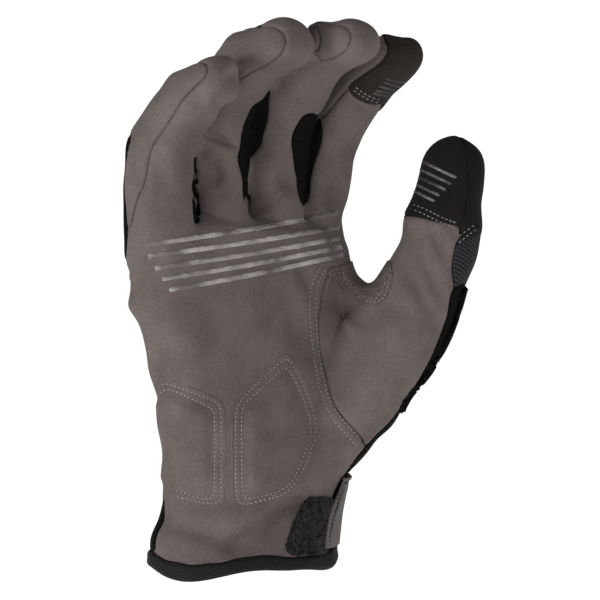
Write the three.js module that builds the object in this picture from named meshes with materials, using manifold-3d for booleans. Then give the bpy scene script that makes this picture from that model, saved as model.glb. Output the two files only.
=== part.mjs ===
// A right-hand work glove, worn form, as hollow panels of suede, mesh and knit.
// Millimetres, +Z to the fingertips, palm towards -Y, thumb on +X, origin at the middle of the cuff
// opening.
import * as THREE from "three";
import { mergeVertices } from "three/addons/utils/BufferGeometryUtils.js";
import Module from "manifold-3d";

const wasm = await Module();
wasm.setup();
const DEGREE = Math.PI / 180;

// Driving sizes of the hand inside the glove
const palmHeight = 135;
const palmBreadth = 101;
const palmThickness = 40;
const thumbGirth = 16;
const fingerLength = 90;
const thumbTurn = 35;

// Thicknesses and clearances
const wall = 2;
const ownSkin = 0.15;
const seamGap = 0.3;
const padThickness = 1.6;
const printThickness = 0.6;
const bindingHeight = 6.2;
const bindingSwell = 1.2;
const hemRise = 4;
const loopThickness = 1.2;
const tabThickness = 2;
const tabGripThickness = 1.1;
const guardThickness = 3.6;

// Facets round and along each form
const palmSides = 18;
const fingerSides = 10;
const fingerRings = 7;
const thumbSides = 12;
const tipRings = 2;
const sectorSteps = 6;
const sectorParts = 5;
const hollowShare = 0.8;
const hollowRings = 5;

// How far past a finger's or the thumb's middle a cutting sector reaches, in its girths
const sectorShare = 1.45;
const thumbSectorShare = 1.9;

// Round end of a finger: how far it turns in, and how blunt it is
const tipTurn = 80 * DEGREE;
const bluntPower = 0.75;

// The hem's waves start this far round from the palm's middle
const hemAngle = 62 * DEGREE;

// Sides round a form; the hollow has fewer than the outside
const sidesOf = (sides, inset) => (inset > 0 ? 2 * Math.round((sides * hollowShare) / 2) : sides);

// Palm sections from the hem to the finger roots. up is a share of palmHeight, side and wide of
// palmBreadth, forward, palm, back and arch of palmThickness; arch is how far both edges bow towards
// the palm.
const palmSections = [
  { up: 0.0, side: 0.0, forward: 0.0, wide: 0.785, palm: 0.75, back: 0.75, arch: 0.0 },
  { up: 0.1, side: 0.005, forward: 0.0, wide: 0.775, palm: 0.7, back: 0.7, arch: 0.0 },
  { up: 0.16, side: 0.02, forward: 0.03, wide: 0.755, palm: 0.66, back: 0.65, arch: 0.0 },
  { up: 0.23, side: 0.035, forward: 0.04, wide: 0.765, palm: 0.66, back: 0.62, arch: 0.0 },
  { up: 0.32, side: 0.035, forward: 0.05, wide: 0.785, palm: 0.64, back: 0.58, arch: 0.03 },
  { up: 0.42, side: 0.03, forward: 0.05, wide: 0.825, palm: 0.6, back: 0.55, arch: 0.06 },
  { up: 0.53, side: 0.02, forward: 0.05, wide: 0.865, palm: 0.56, back: 0.52, arch: 0.1 },
  { up: 0.65, side: 0.01, forward: 0.04, wide: 0.92, palm: 0.53, back: 0.5, arch: 0.1 },
  { up: 0.76, side: -0.02, forward: 0.02, wide: 0.975, palm: 0.52, back: 0.49, arch: 0.1 },
  { up: 0.86, side: -0.03, forward: 0.02, wide: 1.0, palm: 0.51, back: 0.48, arch: 0.14 },
  { up: 0.93, side: -0.03, forward: 0.02, wide: 0.98, palm: 0.49, back: 0.45, arch: 0.14 },
  { up: 0.98, side: -0.03, forward: 0.05, wide: 0.9, palm: 0.44, back: 0.36, arch: 0.04 },
  { up: 1.015, side: -0.03, forward: 0.08, wide: 0.78, palm: 0.24, back: 0.18, arch: 0.0 },
];

// Fingers. side and forward place the root knuckle in shares of palmBreadth and palmThickness, up of
// palmHeight. splay and roll turn the whole finger; flex is the bend at the root, middle and end knuckle,
// in degrees. length is a share of fingerLength and girth, the widest half breadth, of palmBreadth.
// proximal and middle are shares of the finger's own length; root, joint and tip of its girth.
const fingerShares = [
  { name: "pinky", side: -0.402, forward: 0.1, up: 0.915, splay: -4, roll: 21, flex: [3, 38, 20],
    length: 0.822, proximal: 0.5, middle: 0.28, girth: 0.1426,
    root: 0.92, joint: 1, tip: 0.86, flat: 1 },
  { name: "ring", side: -0.137, forward: 0.08, up: 0.985, splay: -1, roll: 10, flex: [1, 49, 27],
    length: 0.967, proximal: 0.52, middle: 0.28, girth: 0.1277,
    root: 0.88, joint: 1, tip: 0.93, flat: 1.1 },
  { name: "middle", side: 0.112, forward: 0.11, up: 0.985, splay: -1, roll: 8, flex: [8, 43, 24],
    length: 1, proximal: 0.51, middle: 0.3, girth: 0.1218,
    root: 0.93, joint: 1, tip: 0.92, flat: 1 },
  { name: "index", side: 0.34, forward: 0.06, up: 0.94, splay: 2, roll: 7, flex: [8, 36, 14],
    length: 0.967, proximal: 0.5, middle: 0.29, girth: 0.1109,
    root: 0.95, joint: 0.92, tip: 1.02, flat: 0.95 },
];
const fingers = fingerShares.map((share) => ({
  ...share, length: share.length * fingerLength, girth: share.girth * palmBreadth,
}));
const rootShare = 0.2;
const rootTaperShare = 0.4;
const kneeShare = 0.26;

// Thumb sections in its own upright plane. out is a share of palmBreadth and up of palmHeight; near, a
// share of palmThickness, is how far the middle lies towards the little-finger side of that plane.
// spread and deep are half sizes as shares of thumbGirth.
const thumbSections = [
  { out: 0.119, up: 0.244, near: -ownSkin, spread: 1.1, deep: 0.9 },
  { out: 0.275, up: 0.383, near: -0.188, spread: 1.2, deep: 1.1 },
  { out: 0.457, up: 0.539, near: -0.131, spread: 1.27, deep: 1.12 },
  { out: 0.631, up: 0.739, near: -0.094, spread: 1.15, deep: 1.06 },
  { out: 0.743, up: 0.906, near: -0.056, spread: 0.96, deep: 0.97 },
  { out: 0.79, up: 1.044, near: -0.037, spread: 0.9, deep: 0.88 },
  { out: 0.809, up: 1.15, near: -0.037, spread: 0.8, deep: 0.76 },
];

// Web between the thumb and the first finger, in the same plane and in the same shares
const webSections = [
  { out: 0.356, up: 0.856, near: -0.487, spread: 0.5, deep: 0.6 },
  { out: 0.401, up: 0.806, near: -0.412, spread: 0.52, deep: 0.62 },
  { out: 0.483, up: 0.778, near: -0.281, spread: 0.52, deep: 0.64 },
  { out: 0.572, up: 0.811, near: -0.169, spread: 0.5, deep: 0.62 },
  { out: 0.639, up: 0.878, near: -0.113, spread: 0.45, deep: 0.6 },
];

const side = new THREE.Vector3(Math.cos(thumbTurn * DEGREE), -Math.sin(thumbTurn * DEGREE), 0);
const upward = new THREE.Vector3(0, 0, 1);
const near = new THREE.Vector3().crossVectors(side, upward);
const smooth = (x) => THREE.MathUtils.smoothstep(x, 0, 1);
const lerp = THREE.MathUtils.lerp;

// Point at a distance out, up and near in the thumb's upright plane
function planePoint(out, up, depth) {
  return new THREE.Vector3().addScaledVector(side, out).addScaledVector(upward, up)
    .addScaledVector(near, depth);
}

// Closed body through rings that all have the same number of points, with a flat fan over each end
function loft(rings) {
  const count = rings[0].length;
  const positions = rings.flat().flatMap((point) => [point.x, point.y, point.z]);
  const index = [];
  for (let ring = 0; ring + 1 < rings.length; ring += 1) {
    for (let point = 0; point < count; point += 1) {
      const a = ring * count + point;
      const b = ring * count + ((point + 1) % count);
      index.push(a, b, b + count, a, b + count, a + count);
    }
  }
  const last = (rings.length - 1) * count;
  for (let point = 1; point + 1 < count; point += 1) {
    index.push(0, point + 1, point, last, last + point, last + point + 1);
  }
  const geometry = new THREE.BufferGeometry();
  geometry.setAttribute("position", new THREE.Float32BufferAttribute(positions, 3));
  geometry.setIndex(index);
  return solid(geometry);
}

// Manifold solid of a closed geometry
function solid(geometry) {
  geometry.deleteAttribute("normal");
  geometry.deleteAttribute("uv");
  const merged = mergeVertices(geometry, 1e-5);
  const vertProperties = new Float32Array(merged.attributes.position.array);
  const triVerts = new Uint32Array(merged.index.array);
  return new wasm.Manifold(new wasm.Mesh({ numProp: 3, vertProperties, triVerts }));
}

function joined(solids) {
  return solids.reduce((sum, next) => sum.add(next));
}

// Outline of [across, up] pairs moved outward by grow; the outline runs anticlockwise
function grownOutline(outline, grow) {
  return outline.map(([x, y], index) => {
    const before = outline[(index + outline.length - 1) % outline.length];
    const after = outline[(index + 1) % outline.length];
    const into = new THREE.Vector2(x - before[0], y - before[1]).normalize();
    const away = new THREE.Vector2(after[0] - x, after[1] - y).normalize();
    const normal = new THREE.Vector2(into.y + away.y, -into.x - away.x).normalize();
    const reach = grow / Math.max(0.4, normal.x * into.y - normal.y * into.x);
    return [x + normal.x * reach, y + normal.y * reach];
  });
}

// Outline in the plane of across and up, pushed through from one depth to another
function prism(outline, from, to, across = side, toward = near) {
  const shape = new THREE.Shape(outline.map(([x, y]) => new THREE.Vector2(x, y)));
  const geometry = new THREE.ExtrudeGeometry(shape, { depth: to - from, bevelEnabled: false });
  geometry.translate(0, 0, from);
  geometry.applyMatrix4(new THREE.Matrix4().makeBasis(across, upward, toward));
  return solid(geometry);
}

// How far the hem rises at an angle round the cuff; 0 is palmward and a positive angle turns to the thumb
function hemWave(angle) {
  return hemRise * (0.5 - 0.5 * Math.cos(4 * (angle + hemAngle)));
}

// The palm's form, thinner all round by inset; it runs past the hem where it is the hollow
function palmForm(inset) {
  const ring = (row, up) => {
    const points = [];
    const half = (row.wide * palmBreadth) / 2 - inset;
    const sides = sidesOf(palmSides, inset);
    for (let step = 0; step < sides; step += 1) {
      const angle = (2 * Math.PI * step) / sides;
      const share = Math.sin(angle);
      const depth = (Math.cos(angle) > 0 ? row.palm : row.back) * palmThickness - inset;
      const bow = row.arch * palmThickness * share * share;
      points.push(new THREE.Vector3(
        row.side * palmBreadth + half * share,
        -row.forward * palmThickness - depth * Math.cos(angle) - bow,
        up + (row.up === 0 ? hemWave(angle) : 0),
      ));
    }
    return points;
  };
  const rows = palmSections.filter((row, place) => inset <= 0 || place % 2 === 0);
  const rings = rows.map((row) => ring(row, row.up * palmHeight));
  if (inset > 0) rings.unshift(ring(palmSections[0], -bindingHeight));
  rings.push(rings.pop().map((point) => point.setZ(point.z - inset)));
  return loft(rings);
}

// Total bend of a finger in degrees, at a distance along it
function bendAt(finger, along) {
  const knees = [0, finger.proximal, finger.proximal + finger.middle];
  return finger.flex.reduce((sum, flex, knee) => (
    sum + flex * smooth((along / finger.length - knees[knee]) / kneeShare + 0.5)
  ), 0);
}

// Middle, direction, palmward normal and sideways direction of a finger, at a distance along it
function fingerFrame(finger, along) {
  const roll = finger.roll * DEGREE;
  const splay = finger.splay * DEGREE;
  const sideways = new THREE.Vector3(Math.cos(roll), Math.sin(roll), 0);
  const forward = new THREE.Vector3(Math.sin(roll), -Math.cos(roll), 0);
  const straight = upward.clone().multiplyScalar(Math.cos(splay))
    .addScaledVector(sideways, Math.sin(splay));
  const heading = (bend) => straight.clone().multiplyScalar(Math.cos(bend * DEGREE))
    .addScaledVector(forward, Math.sin(bend * DEGREE));
  const middle = new THREE.Vector3(
    finger.side * palmBreadth, -finger.forward * palmThickness, finger.up * palmHeight,
  );
  const steps = 24;
  for (let step = 0; step < steps; step += 1) {
    middle.addScaledVector(heading(bendAt(finger, (along * (step + 0.5)) / steps)), along / steps);
  }
  const bend = bendAt(finger, along);
  const axis = heading(bend);
  const palmward = new THREE.Vector3().crossVectors(sideways, axis).normalize();
  return { middle, axis, palmward, sideways };
}

// Half breadth of a finger as a share of its girth, at a share of its length
function fingerGirth(finger, share) {
  if (share < 0) return finger.root * (1 - rootTaperShare * smooth(-share / rootShare));
  if (share < finger.proximal) return lerp(finger.root, finger.joint, smooth(share / finger.proximal));
  return lerp(finger.joint, finger.tip, smooth((share - finger.proximal) / (1 - finger.proximal)));
}

function fingerRing(frame, breadth, depth, sides = fingerSides) {
  const points = [];
  for (let step = 0; step < sides; step += 1) {
    const angle = (2 * Math.PI * step) / sides;
    points.push(frame.middle.clone()
      .addScaledVector(frame.palmward, depth * Math.cos(angle))
      .addScaledVector(frame.sideways, breadth * Math.sin(angle)));
  }
  return points;
}

function fingerForm(finger, inset) {
  const sides = sidesOf(fingerSides, inset);
  const rings = [];
  const steps = inset > 0 ? hollowRings : fingerRings;
  for (let ring = 0; ring <= steps; ring += 1) {
    const share = lerp(-rootShare, 1, ring / steps);
    const half = fingerGirth(finger, share) * finger.girth;
    const frame = fingerFrame(finger, share * finger.length);
    rings.push(fingerRing(frame, half - inset, half * finger.flat - inset, sides));
  }
  const tip = finger.tip * finger.girth - inset;
  const tipDepth = finger.tip * finger.girth * finger.flat - inset;
  for (let ring = 1; ring <= tipRings; ring += 1) {
    const turn = (ring / tipRings) * tipTurn;
    const frame = fingerFrame(finger, finger.length + tip * Math.sin(turn));
    const shrink = Math.cos(turn) ** bluntPower;
    rings.push(fingerRing(frame, tip * shrink, tipDepth * shrink, sides));
  }
  return loft(rings);
}

// Middle, direction and half sizes of the thumb or the web, at a row number that may be a fraction
function planeFrame(sections, place) {
  const value = (key, spot) => {
    const held = THREE.MathUtils.clamp(spot, 0, sections.length - 1);
    const low = Math.min(Math.floor(held), sections.length - 2);
    return lerp(sections[low][key], sections[low + 1][key], held - low);
  };
  const at = (spot) => planePoint(
    value("out", spot) * palmBreadth, value("up", spot) * palmHeight, value("near", spot) * palmThickness,
  );
  const axis = at(place + 0.5).sub(at(place - 0.5)).normalize();
  const sideways = new THREE.Vector3().crossVectors(axis, near).normalize();
  const palmward = new THREE.Vector3().crossVectors(sideways, axis).normalize();
  const spread = value("spread", place) * thumbGirth;
  const deep = value("deep", place) * thumbGirth;
  return { middle: at(place), axis, palmward, sideways, spread, deep };
}

function planeRing(frame, shrink, inset) {
  const points = [];
  const sides = sidesOf(thumbSides, inset);
  for (let step = 0; step < sides; step += 1) {
    const angle = (2 * Math.PI * step) / sides;
    points.push(frame.middle.clone()
      .addScaledVector(frame.palmward, (frame.deep - inset) * shrink * Math.cos(angle))
      .addScaledVector(frame.sideways, (frame.spread - inset) * shrink * Math.sin(angle)));
  }
  return points;
}

function planeForm(sections, inset, rounded) {
  const end = sections.length - 1;
  const rings = sections.map((row, place) => planeRing(planeFrame(sections, place), 1, inset));
  const frame = planeFrame(sections, end);
  for (let ring = 1; rounded && ring <= tipRings; ring += 1) {
    const turn = (ring / tipRings) * tipTurn;
    const reach = (frame.spread - inset) * Math.sin(turn);
    const moved = { ...frame, middle: frame.middle.clone().addScaledVector(frame.axis, reach) };
    rings.push(planeRing(moved, Math.cos(turn) ** bluntPower, inset));
  }
  return loft(rings);
}

// The whole hand, thinner all round by inset
function handForm(inset) {
  return joined([
    palmForm(inset), ...fingers.map((finger) => fingerForm(finger, inset)),
    planeForm(thumbSections, inset, true), planeForm(webSections, inset, false),
  ]);
}

// Skin between two depths under the surface; a negative depth lies above it
function skin(outer, inner) {
  return handForm(outer).subtract(handForm(inner));
}

// Sector round a finger. Rows give a share of the length and the angles between which it reaches; 0 is
// palmward and a positive angle turns towards the thumb.
function fingerSector(finger, rows, grow) {
  const reach = finger.girth * sectorShare;
  const turn = grow / finger.girth / DEGREE;
  const rings = [];
  for (let step = 0; step <= sectorSteps; step += 1) {
    const share = lerp(rows[0].along, rows.at(-1).along, step / sectorSteps);
    const row = Math.max(0, rows.findLastIndex((each) => each.along <= share - 1e-9));
    const next = rows[Math.min(row + 1, rows.length - 1)];
    const mix = (share - rows[row].along) / Math.max(next.along - rows[row].along, 1e-6);
    const from = lerp(rows[row].from, next.from, mix) - turn;
    const to = lerp(rows[row].to, next.to, mix) + turn;
    const end = step === 0 ? -grow : step === sectorSteps ? grow : 0;
    rings.push(sectorRing(fingerFrame(finger, share * finger.length + end), from, to, reach));
  }
  return loft(rings);
}

function sectorRing(frame, from, to, reach) {
  const points = [frame.middle];
  for (let part = 0; part <= sectorParts; part += 1) {
    const angle = lerp(from, to, part / sectorParts) * DEGREE;
    points.push(frame.middle.clone()
      .addScaledVector(frame.palmward, reach * Math.cos(angle))
      .addScaledVector(frame.sideways, reach * Math.sin(angle)));
  }
  return points;
}

// Everything of a finger between two shares of its length
function fingerSlice(finger, from, to, grow) {
  const frames = [0, 0.25, 0.5, 0.75, 1].map((mix) => (
    fingerFrame(finger, lerp(from * finger.length - grow, to * finger.length + grow, mix))
  ));
  const reach = finger.girth * sectorShare;
  return loft(frames.map((frame) => fingerRing(frame, reach, reach)));
}

// Sector round the thumb. Rows give a place among its sections and the angles; 0 faces the little
// finger's side and a positive angle turns outward.
function thumbSector(rows, grow) {
  const turn = grow / thumbGirth / DEGREE;
  const rings = [];
  for (let step = 0; step <= sectorSteps; step += 1) {
    const place = lerp(rows[0].place, rows.at(-1).place, step / sectorSteps);
    const row = Math.max(0, rows.findLastIndex((each) => each.place <= place - 1e-9));
    const next = rows[Math.min(row + 1, rows.length - 1)];
    const mix = (place - rows[row].place) / Math.max(next.place - rows[row].place, 1e-6);
    const frame = planeFrame(thumbSections, Math.min(place, thumbSections.length - 1));
    const past = Math.max(0, place - thumbSections.length + 1) * thumbGirth;
    const end = step === 0 ? -grow : step === sectorSteps ? grow : 0;
    frame.middle.addScaledVector(frame.axis, past + end);
    const from = lerp(rows[row].from, next.from, mix) - turn;
    const to = lerp(rows[row].to, next.to, mix) + turn;
    rings.push(sectorRing(frame, from, to, thumbGirth * thumbSectorShare));
  }
  return loft(rings);
}

// Everything of the thumb between two places among its sections
function thumbSlice(from, to, grow) {
  const end = thumbSections.length - 1;
  const rings = [0, 0.25, 0.5, 0.75, 1].map((mix) => {
    const place = lerp(from, to, mix);
    const frame = planeFrame(thumbSections, Math.min(place, end));
    const shift = Math.max(0, place - end) * thumbGirth + lerp(-grow, grow, mix);
    frame.middle.addScaledVector(frame.axis, shift);
    return planeRing(frame, 1, -thumbGirth / 2);
  });
  return loft(rings);
}

// Seam lines round the fingers: the palm piece lies between the angles from and to, and the suede tongue
// lies on its little-finger side
const seams = {
  pinky: {
    front: [
      { along: -0.1, from: -100, to: 60 }, { along: 0.35, from: -110, to: 45 },
      { along: 0.62, from: -110, to: 60 },
      { along: 0.85, from: -130, to: 80 }, { along: 1.0, from: -150, to: 100 },
    ],
    tongue: [
      { along: 0.02, from: -118, to: -84 }, { along: 0.2, from: -150, to: -84 },
      { along: 0.35, from: -170, to: -84 },
      { along: 0.62, from: -180, to: -72 }, { along: 0.85, from: -175, to: -70 },
      { along: 0.97, from: -140, to: -95 },
    ],
  },
  ring: {
    front: [
      { along: -0.1, from: -80, to: 40 }, { along: 0.3, from: -80, to: 24 },
      { along: 0.62, from: -110, to: 50 },
      { along: 0.85, from: -130, to: 80 }, { along: 1.0, from: -150, to: 100 },
    ],
    tongue: [
      { along: 0.38, from: -130, to: -90 }, { along: 0.5, from: -170, to: -76 },
      { along: 0.62, from: -180, to: -72 },
      { along: 0.85, from: -175, to: -66 }, { along: 0.97, from: -140, to: -95 },
    ],
  },
  middle: {
    front: [
      { along: -0.1, from: -74, to: 40 }, { along: 0.3, from: -72, to: 20 },
      { along: 0.62, from: -110, to: 50 },
      { along: 0.85, from: -130, to: 80 }, { along: 1.0, from: -150, to: 100 },
    ],
    tongue: [
      { along: 0.44, from: -120, to: -84 }, { along: 0.54, from: -170, to: -72 },
      { along: 0.65, from: -180, to: -70 },
      { along: 0.82, from: -175, to: -66 }, { along: 0.93, from: -140, to: -95 },
    ],
  },
  index: {
    front: [
      { along: -0.1, from: -84, to: 70 }, { along: 0.3, from: -84, to: 66 },
      { along: 0.62, from: -110, to: 76 },
      { along: 0.85, from: -110, to: 90 }, { along: 1.0, from: -110, to: 100 },
    ],
    tongue: [
      { along: 0.44, from: -120, to: -84 }, { along: 0.54, from: -170, to: -72 },
      { along: 0.65, from: -180, to: -66 },
      { along: 0.85, from: -180, to: -56 }, { along: 1.06, from: -180, to: -70 },
    ],
  },
};
const bandShare = 0.98;
const capShare = 0.7;
const sliceShare = 1.4;
const crotchShare = 1.035;
// How far behind the middle the palm piece reaches at its two sides, as a share of palmThickness
const sideSeamShare = 0.1;

// Thumb: where the suede front, the tip piece and the knit back lie round it
const thumbFrontRows = [
  { place: 0.2, from: -150, to: 120 }, { place: 1.6, from: -130, to: 92 },
  { place: 2.9, from: -105, to: 74 },
  { place: 3.6, from: -100, to: 40 }, { place: 4.1, from: -100, to: 24 },
  { place: 4.75, from: -100, to: 26 },
];
const thumbCapRows = [
  { place: 4.75, from: -100, to: 26 }, { place: 5.5, from: -100, to: 30 },
  { place: 6.2, from: -110, to: 20 },
  { place: 7.0, from: -130, to: 0 },
];
const knitRow = 3.0;
const capRow = 4.45;
const capEndRow = 7.2;

// Seam between the palm and the ball of the thumb, in the thumb's upright plane, as shares of palmBreadth
// and palmHeight
const ballSeam = [
  [0.475, 0.36], [0.39, 0.433], [0.343, 0.475], [0.306, 0.57], [0.284, 0.72], [0.28, 0.79], [0.3, 0.84],
  [0.379, 0.944],
];
const ballOutline = [...ballSeam.toReversed(), [1.19, 0.36], [1.19, 1.06], [0.45, 1.06]];

// Overlays, drawn in the same plane and in the same shares
const heelPadOutlines = {
  heel_pad_outer: [[-0.446, 0.222], [-0.252, 0.23], [-0.082, 0.196], [-0.067, 0.333], [-0.079, 0.468],
    [-0.279, 0.552], [-0.446, 0.511]],
  heel_pad_centre: [[-0.012, 0.198], [0.027, 0.191], [0.205, 0.231], [0.254, 0.294], [0.293, 0.381],
    [0.285, 0.439], [0.23, 0.55], [0.166, 0.623], [-0.027, 0.489]],
};
const crotchOutline = [[0.304, 0.878], [0.339, 0.839], [0.446, 0.783], [0.55, 0.778], [0.587, 0.867],
  [0.535, 0.944], [0.46, 0.922], [0.389, 0.883]];
const loopOutline = [[0.171, 0.033], [0.307, 0.033], [0.31, 0.156], [0.34, 0.22], [0.247, 0.218],
  [0.22, 0.179], [0.162, 0.098]];
const thumbEdgeOutline = [[0.899, 0.856], [0.668, 0.844], [0.535, 0.5], [0.639, 0.444], [0.787, 0.611]];

const tabOutline = [[0.319, 0.033], [0.668, 0.033], [0.668, 0.289], [0.404, 0.289], [0.35, 0.222],
  [0.321, 0.156]];
const tabGripOutline = [[0.336, 0.072], [0.371, 0.072], [0.395, 0.2], [0.395, 0.235], [0.375, 0.22],
  [0.345, 0.144]];
const guardOutline = [[-0.38, 0.79], [0.4, 0.79], [0.46, 0.84], [0.44, 0.93], [0.3, 0.96], [-0.3, 0.97],
  [-0.4, 0.93]];
const guardGrooves = [-0.23, 0.0, 0.25].map((share) => share * palmBreadth);
const grooveBreadth = 3;

// Ends of the first printed bar and the step to the next one. Places on the palm and the thumb are shares
// of palmBreadth and palmHeight; those on the first finger are shares of its girth, from the middle of
// its tip.
const palmBars = { count: 5, left: [-0.379, 0.944], leftStep: [0.023, -0.033], right: [0.37, 1.033],
  rightStep: [0.002, -0.031], breadth: 0.0103, behind: -0.3 };
const thumbBars = { count: 5, left: [0.701, 1.184], leftStep: [-0.011, -0.02], right: [0.827, 1.137],
  rightStep: [-0.022, -0.017], breadth: 0.0076, behind: 0 };
const indexBars = { count: 5, left: [-0.194, -0.595], leftStep: [-0.121, -0.125], right: [0.382, -0.702],
  rightStep: [-0.154, -0.121], breadth: 0.06, behind: 0.2 };

// Place of a pair of shares in the thumb's upright plane, measured from the hand or from the first
// finger's tip
const onHand = ([out, up]) => [out * palmBreadth, up * palmHeight];
const scaled = (outline) => outline.map(onHand);
const indexTip = fingerFrame(fingers.at(-1), fingers.at(-1).length).middle;
const onIndexTip = ([out, up]) => [
  indexTip.dot(side) + out * fingers.at(-1).girth, indexTip.z + up * fingers.at(-1).girth,
];

const anticlockwise = (outline) => (THREE.ShapeUtils.area(outline.map(([x, y]) => ({ x, y }))) > 0
  ? outline : outline.toReversed());

// Finished pieces, filled in by the steps below
const glove = new THREE.Group();
const materials = {
  suede: { color: 0x6f6762, roughness: 0.95 },
  darkSuede: { color: 0x1f1a18, roughness: 0.9 },
  patchSuede: { color: 0x57504c, roughness: 0.92 },
  mesh: { color: 0x141416, roughness: 0.85 },
  knit: { color: 0x1b1b1e, roughness: 0.9 },
  print: { color: 0x85827e, roughness: 0.45 },
  moulded: { color: 0x8d8f92, roughness: 0.6 },
  loop: { color: 0x101012, roughness: 1.0 },
};

function addPiece(name, body, material) {
  const source = body.getMesh();
  const geometry = new THREE.BufferGeometry();
  const positions = new Float32Array(source.numVert * 3);
  for (let vertex = 0; vertex < source.numVert; vertex += 1) {
    for (let axis = 0; axis < 3; axis += 1) {
      positions[vertex * 3 + axis] = source.vertProperties[vertex * source.numProp + axis];
    }
  }
  geometry.setAttribute("position", new THREE.BufferAttribute(positions, 3));
  geometry.setIndex(new THREE.BufferAttribute(new Uint32Array(source.triVerts), 1));
  geometry.computeVertexNormals();
  const mesh = new THREE.Mesh(geometry, new THREE.MeshStandardMaterial({ ...materials[material],
    metalness: 0 }));
  mesh.name = name;
  glove.add(mesh);
}

// Everything below a line that follows the hem at a height above it
function belowHemLine(height) {
  const ring = (radius, up) => {
    const points = [];
    for (let step = 0; step < palmSides; step += 1) {
      const angle = (2 * Math.PI * step) / palmSides;
      points.push(new THREE.Vector3(
        radius * Math.sin(angle), -radius * Math.cos(angle), up + (up > 0 ? hemWave(angle) : 0),
      ));
    }
    return points;
  };
  const reach = palmBreadth * 0.45;
  const core = seamGap;
  return loft([
    ring(core, -palmThickness), ring(reach, -palmThickness), ring(reach, height), ring(core, height),
  ]);
}

let shell = skin(0, wall).subtract(belowHemLine(bindingHeight + seamGap));

// Cuts a piece out of the shell; what is left keeps a seam's gap to it
function cutPanel(name, region, grownRegion, material) {
  addPiece(name, shell.intersect(region), material);
  shell = shell.subtract(grownRegion.add(region));
}

for (const finger of fingers) {
  const own = fingerForm(finger, -ownSkin);
  const rows = seams[finger.name].tongue;
  const name = finger.name === "pinky" ? "pinky_side_panel" : `${finger.name}_tip_panel`;
  cutPanel(name, fingerSector(finger, rows, 0).intersect(own),
    fingerSector(finger, rows, seamGap).intersect(own), "suede");
}

const index = fingers.at(-1);
const capSolid = (grow) => fingerSlice(index, capShare, sliceShare, grow)
  .intersect(fingerForm(index, -ownSkin));
cutPanel("index_cap", capSolid(0), capSolid(seamGap), "darkSuede");

const thumbOwn = planeForm(thumbSections, -ownSkin, true);
const thumbCut = (rows, grow) => thumbSector(rows, grow).intersect(thumbOwn);
cutPanel("thumb_cap_front", thumbCut(thumbCapRows, 0), thumbCut(thumbCapRows, seamGap), "darkSuede");
const tipCut = (grow) => thumbSlice(capRow, capEndRow, grow).intersect(thumbOwn);

const frontRegion = (grow) => {
  const palmFace = prism(
    grownOutline([[-palmBreadth, 0], [palmBreadth, 0], [palmBreadth, crotchShare * palmHeight],
      [-palmBreadth, crotchShare * palmHeight]], grow),
    -sideSeamShare * palmThickness - grow, palmBreadth,
    new THREE.Vector3(1, 0, 0), new THREE.Vector3(0, -1, 0),
  );
  const fronts = fingers.map((finger) => fingerSector(finger, seams[finger.name].front, grow)
    .add(fingerSlice(finger, bandShare, sliceShare, grow)).intersect(fingerForm(finger, -ownSkin)));
  return joined([palmFace, ...fronts]);
};
const ballFace = anticlockwise(scaled(ballOutline));
const ballRegion = (grow) => prism(grownOutline(ballFace, grow), -palmBreadth, palmBreadth)
  .intersect(thumbSector(thumbFrontRows, grow));
cutPanel("thumb_panel", ballRegion(0), ballRegion(seamGap), "suede");
cutPanel("thumb_cap_back", tipCut(0), tipCut(seamGap), "darkSuede");
const knitCut = (grow) => thumbSlice(knitRow, capRow, grow).intersect(thumbOwn);
cutPanel("thumb_back", knitCut(0), knitCut(seamGap), "knit");
cutPanel("palm_panel", frontRegion(0), frontRegion(seamGap), "suede");
addPiece("back_panel", shell, "mesh");

addPiece("cuff_binding", skin(-bindingSwell, wall).intersect(belowHemLine(bindingHeight)), "knit");

const layers = {};

// Layer of a thickness that lies a seam's gap over the shell, above the binding
function layerOf(thickness) {
  layers[thickness] ??= skin(-seamGap - thickness, -seamGap)
    .subtract(belowHemLine(bindingHeight + seamGap));
  return layers[thickness];
}

// A layer that lies on the suede, cut to an outline seen from the little-finger side
function overlay(name, thickness, outline, material, from = 0, to = palmBreadth) {
  addPiece(name, layerOf(thickness).intersect(prism(anticlockwise(scaled(outline)), from, to)), material);
}

for (const [name, outline] of Object.entries(heelPadOutlines)) {
  overlay(name, padThickness, outline, "suede");
}
overlay("crotch_patch", printThickness, crotchOutline, "patchSuede", -palmBreadth, palmBreadth);
overlay("loop_patch", loopThickness, loopOutline, "loop");
overlay("wrist_tab", tabThickness, tabOutline, "darkSuede", -palmBreadth, palmBreadth);
const tabTop = -2 * seamGap - tabThickness;
addPiece("wrist_tab_grip", skin(tabTop - tabGripThickness, tabTop)
  .intersect(prism(scaled(tabGripOutline), 0, palmBreadth)), "moulded");
overlay("thumb_edge_patch", padThickness, thumbEdgeOutline, "mesh", -palmBreadth, 0);

// Everything on the palm's side of the hand
const palmSide = prism(
  [[-palmBreadth, 0], [palmBreadth, 0], [palmBreadth, 2 * palmHeight], [-palmBreadth, 2 * palmHeight]],
  seamGap, palmBreadth, new THREE.Vector3(1, 0, 0), new THREE.Vector3(0, -1, 0),
);

// Rows of printed grip bars, each a slanted strip between two ends that step evenly from row to row
function gripBars(name, rows, place) {
  for (let bar = 0; bar < rows.count; bar += 1) {
    const left = [rows.left[0] + bar * rows.leftStep[0], rows.left[1] + bar * rows.leftStep[1]];
    const right = [rows.right[0] + bar * rows.rightStep[0], rows.right[1] + bar * rows.rightStep[1]];
    const low = rows.breadth / 2;
    const outline = [[left[0], left[1] - low], [right[0], right[1] - low], [right[0], right[1] + low],
      [left[0], left[1] + low]];
    const strip = prism(outline.map(place), rows.behind * palmThickness, palmBreadth).intersect(palmSide);
    addPiece(`${name}_${bar + 1}`, layerOf(printThickness).intersect(strip), "print");
  }
}

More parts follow.
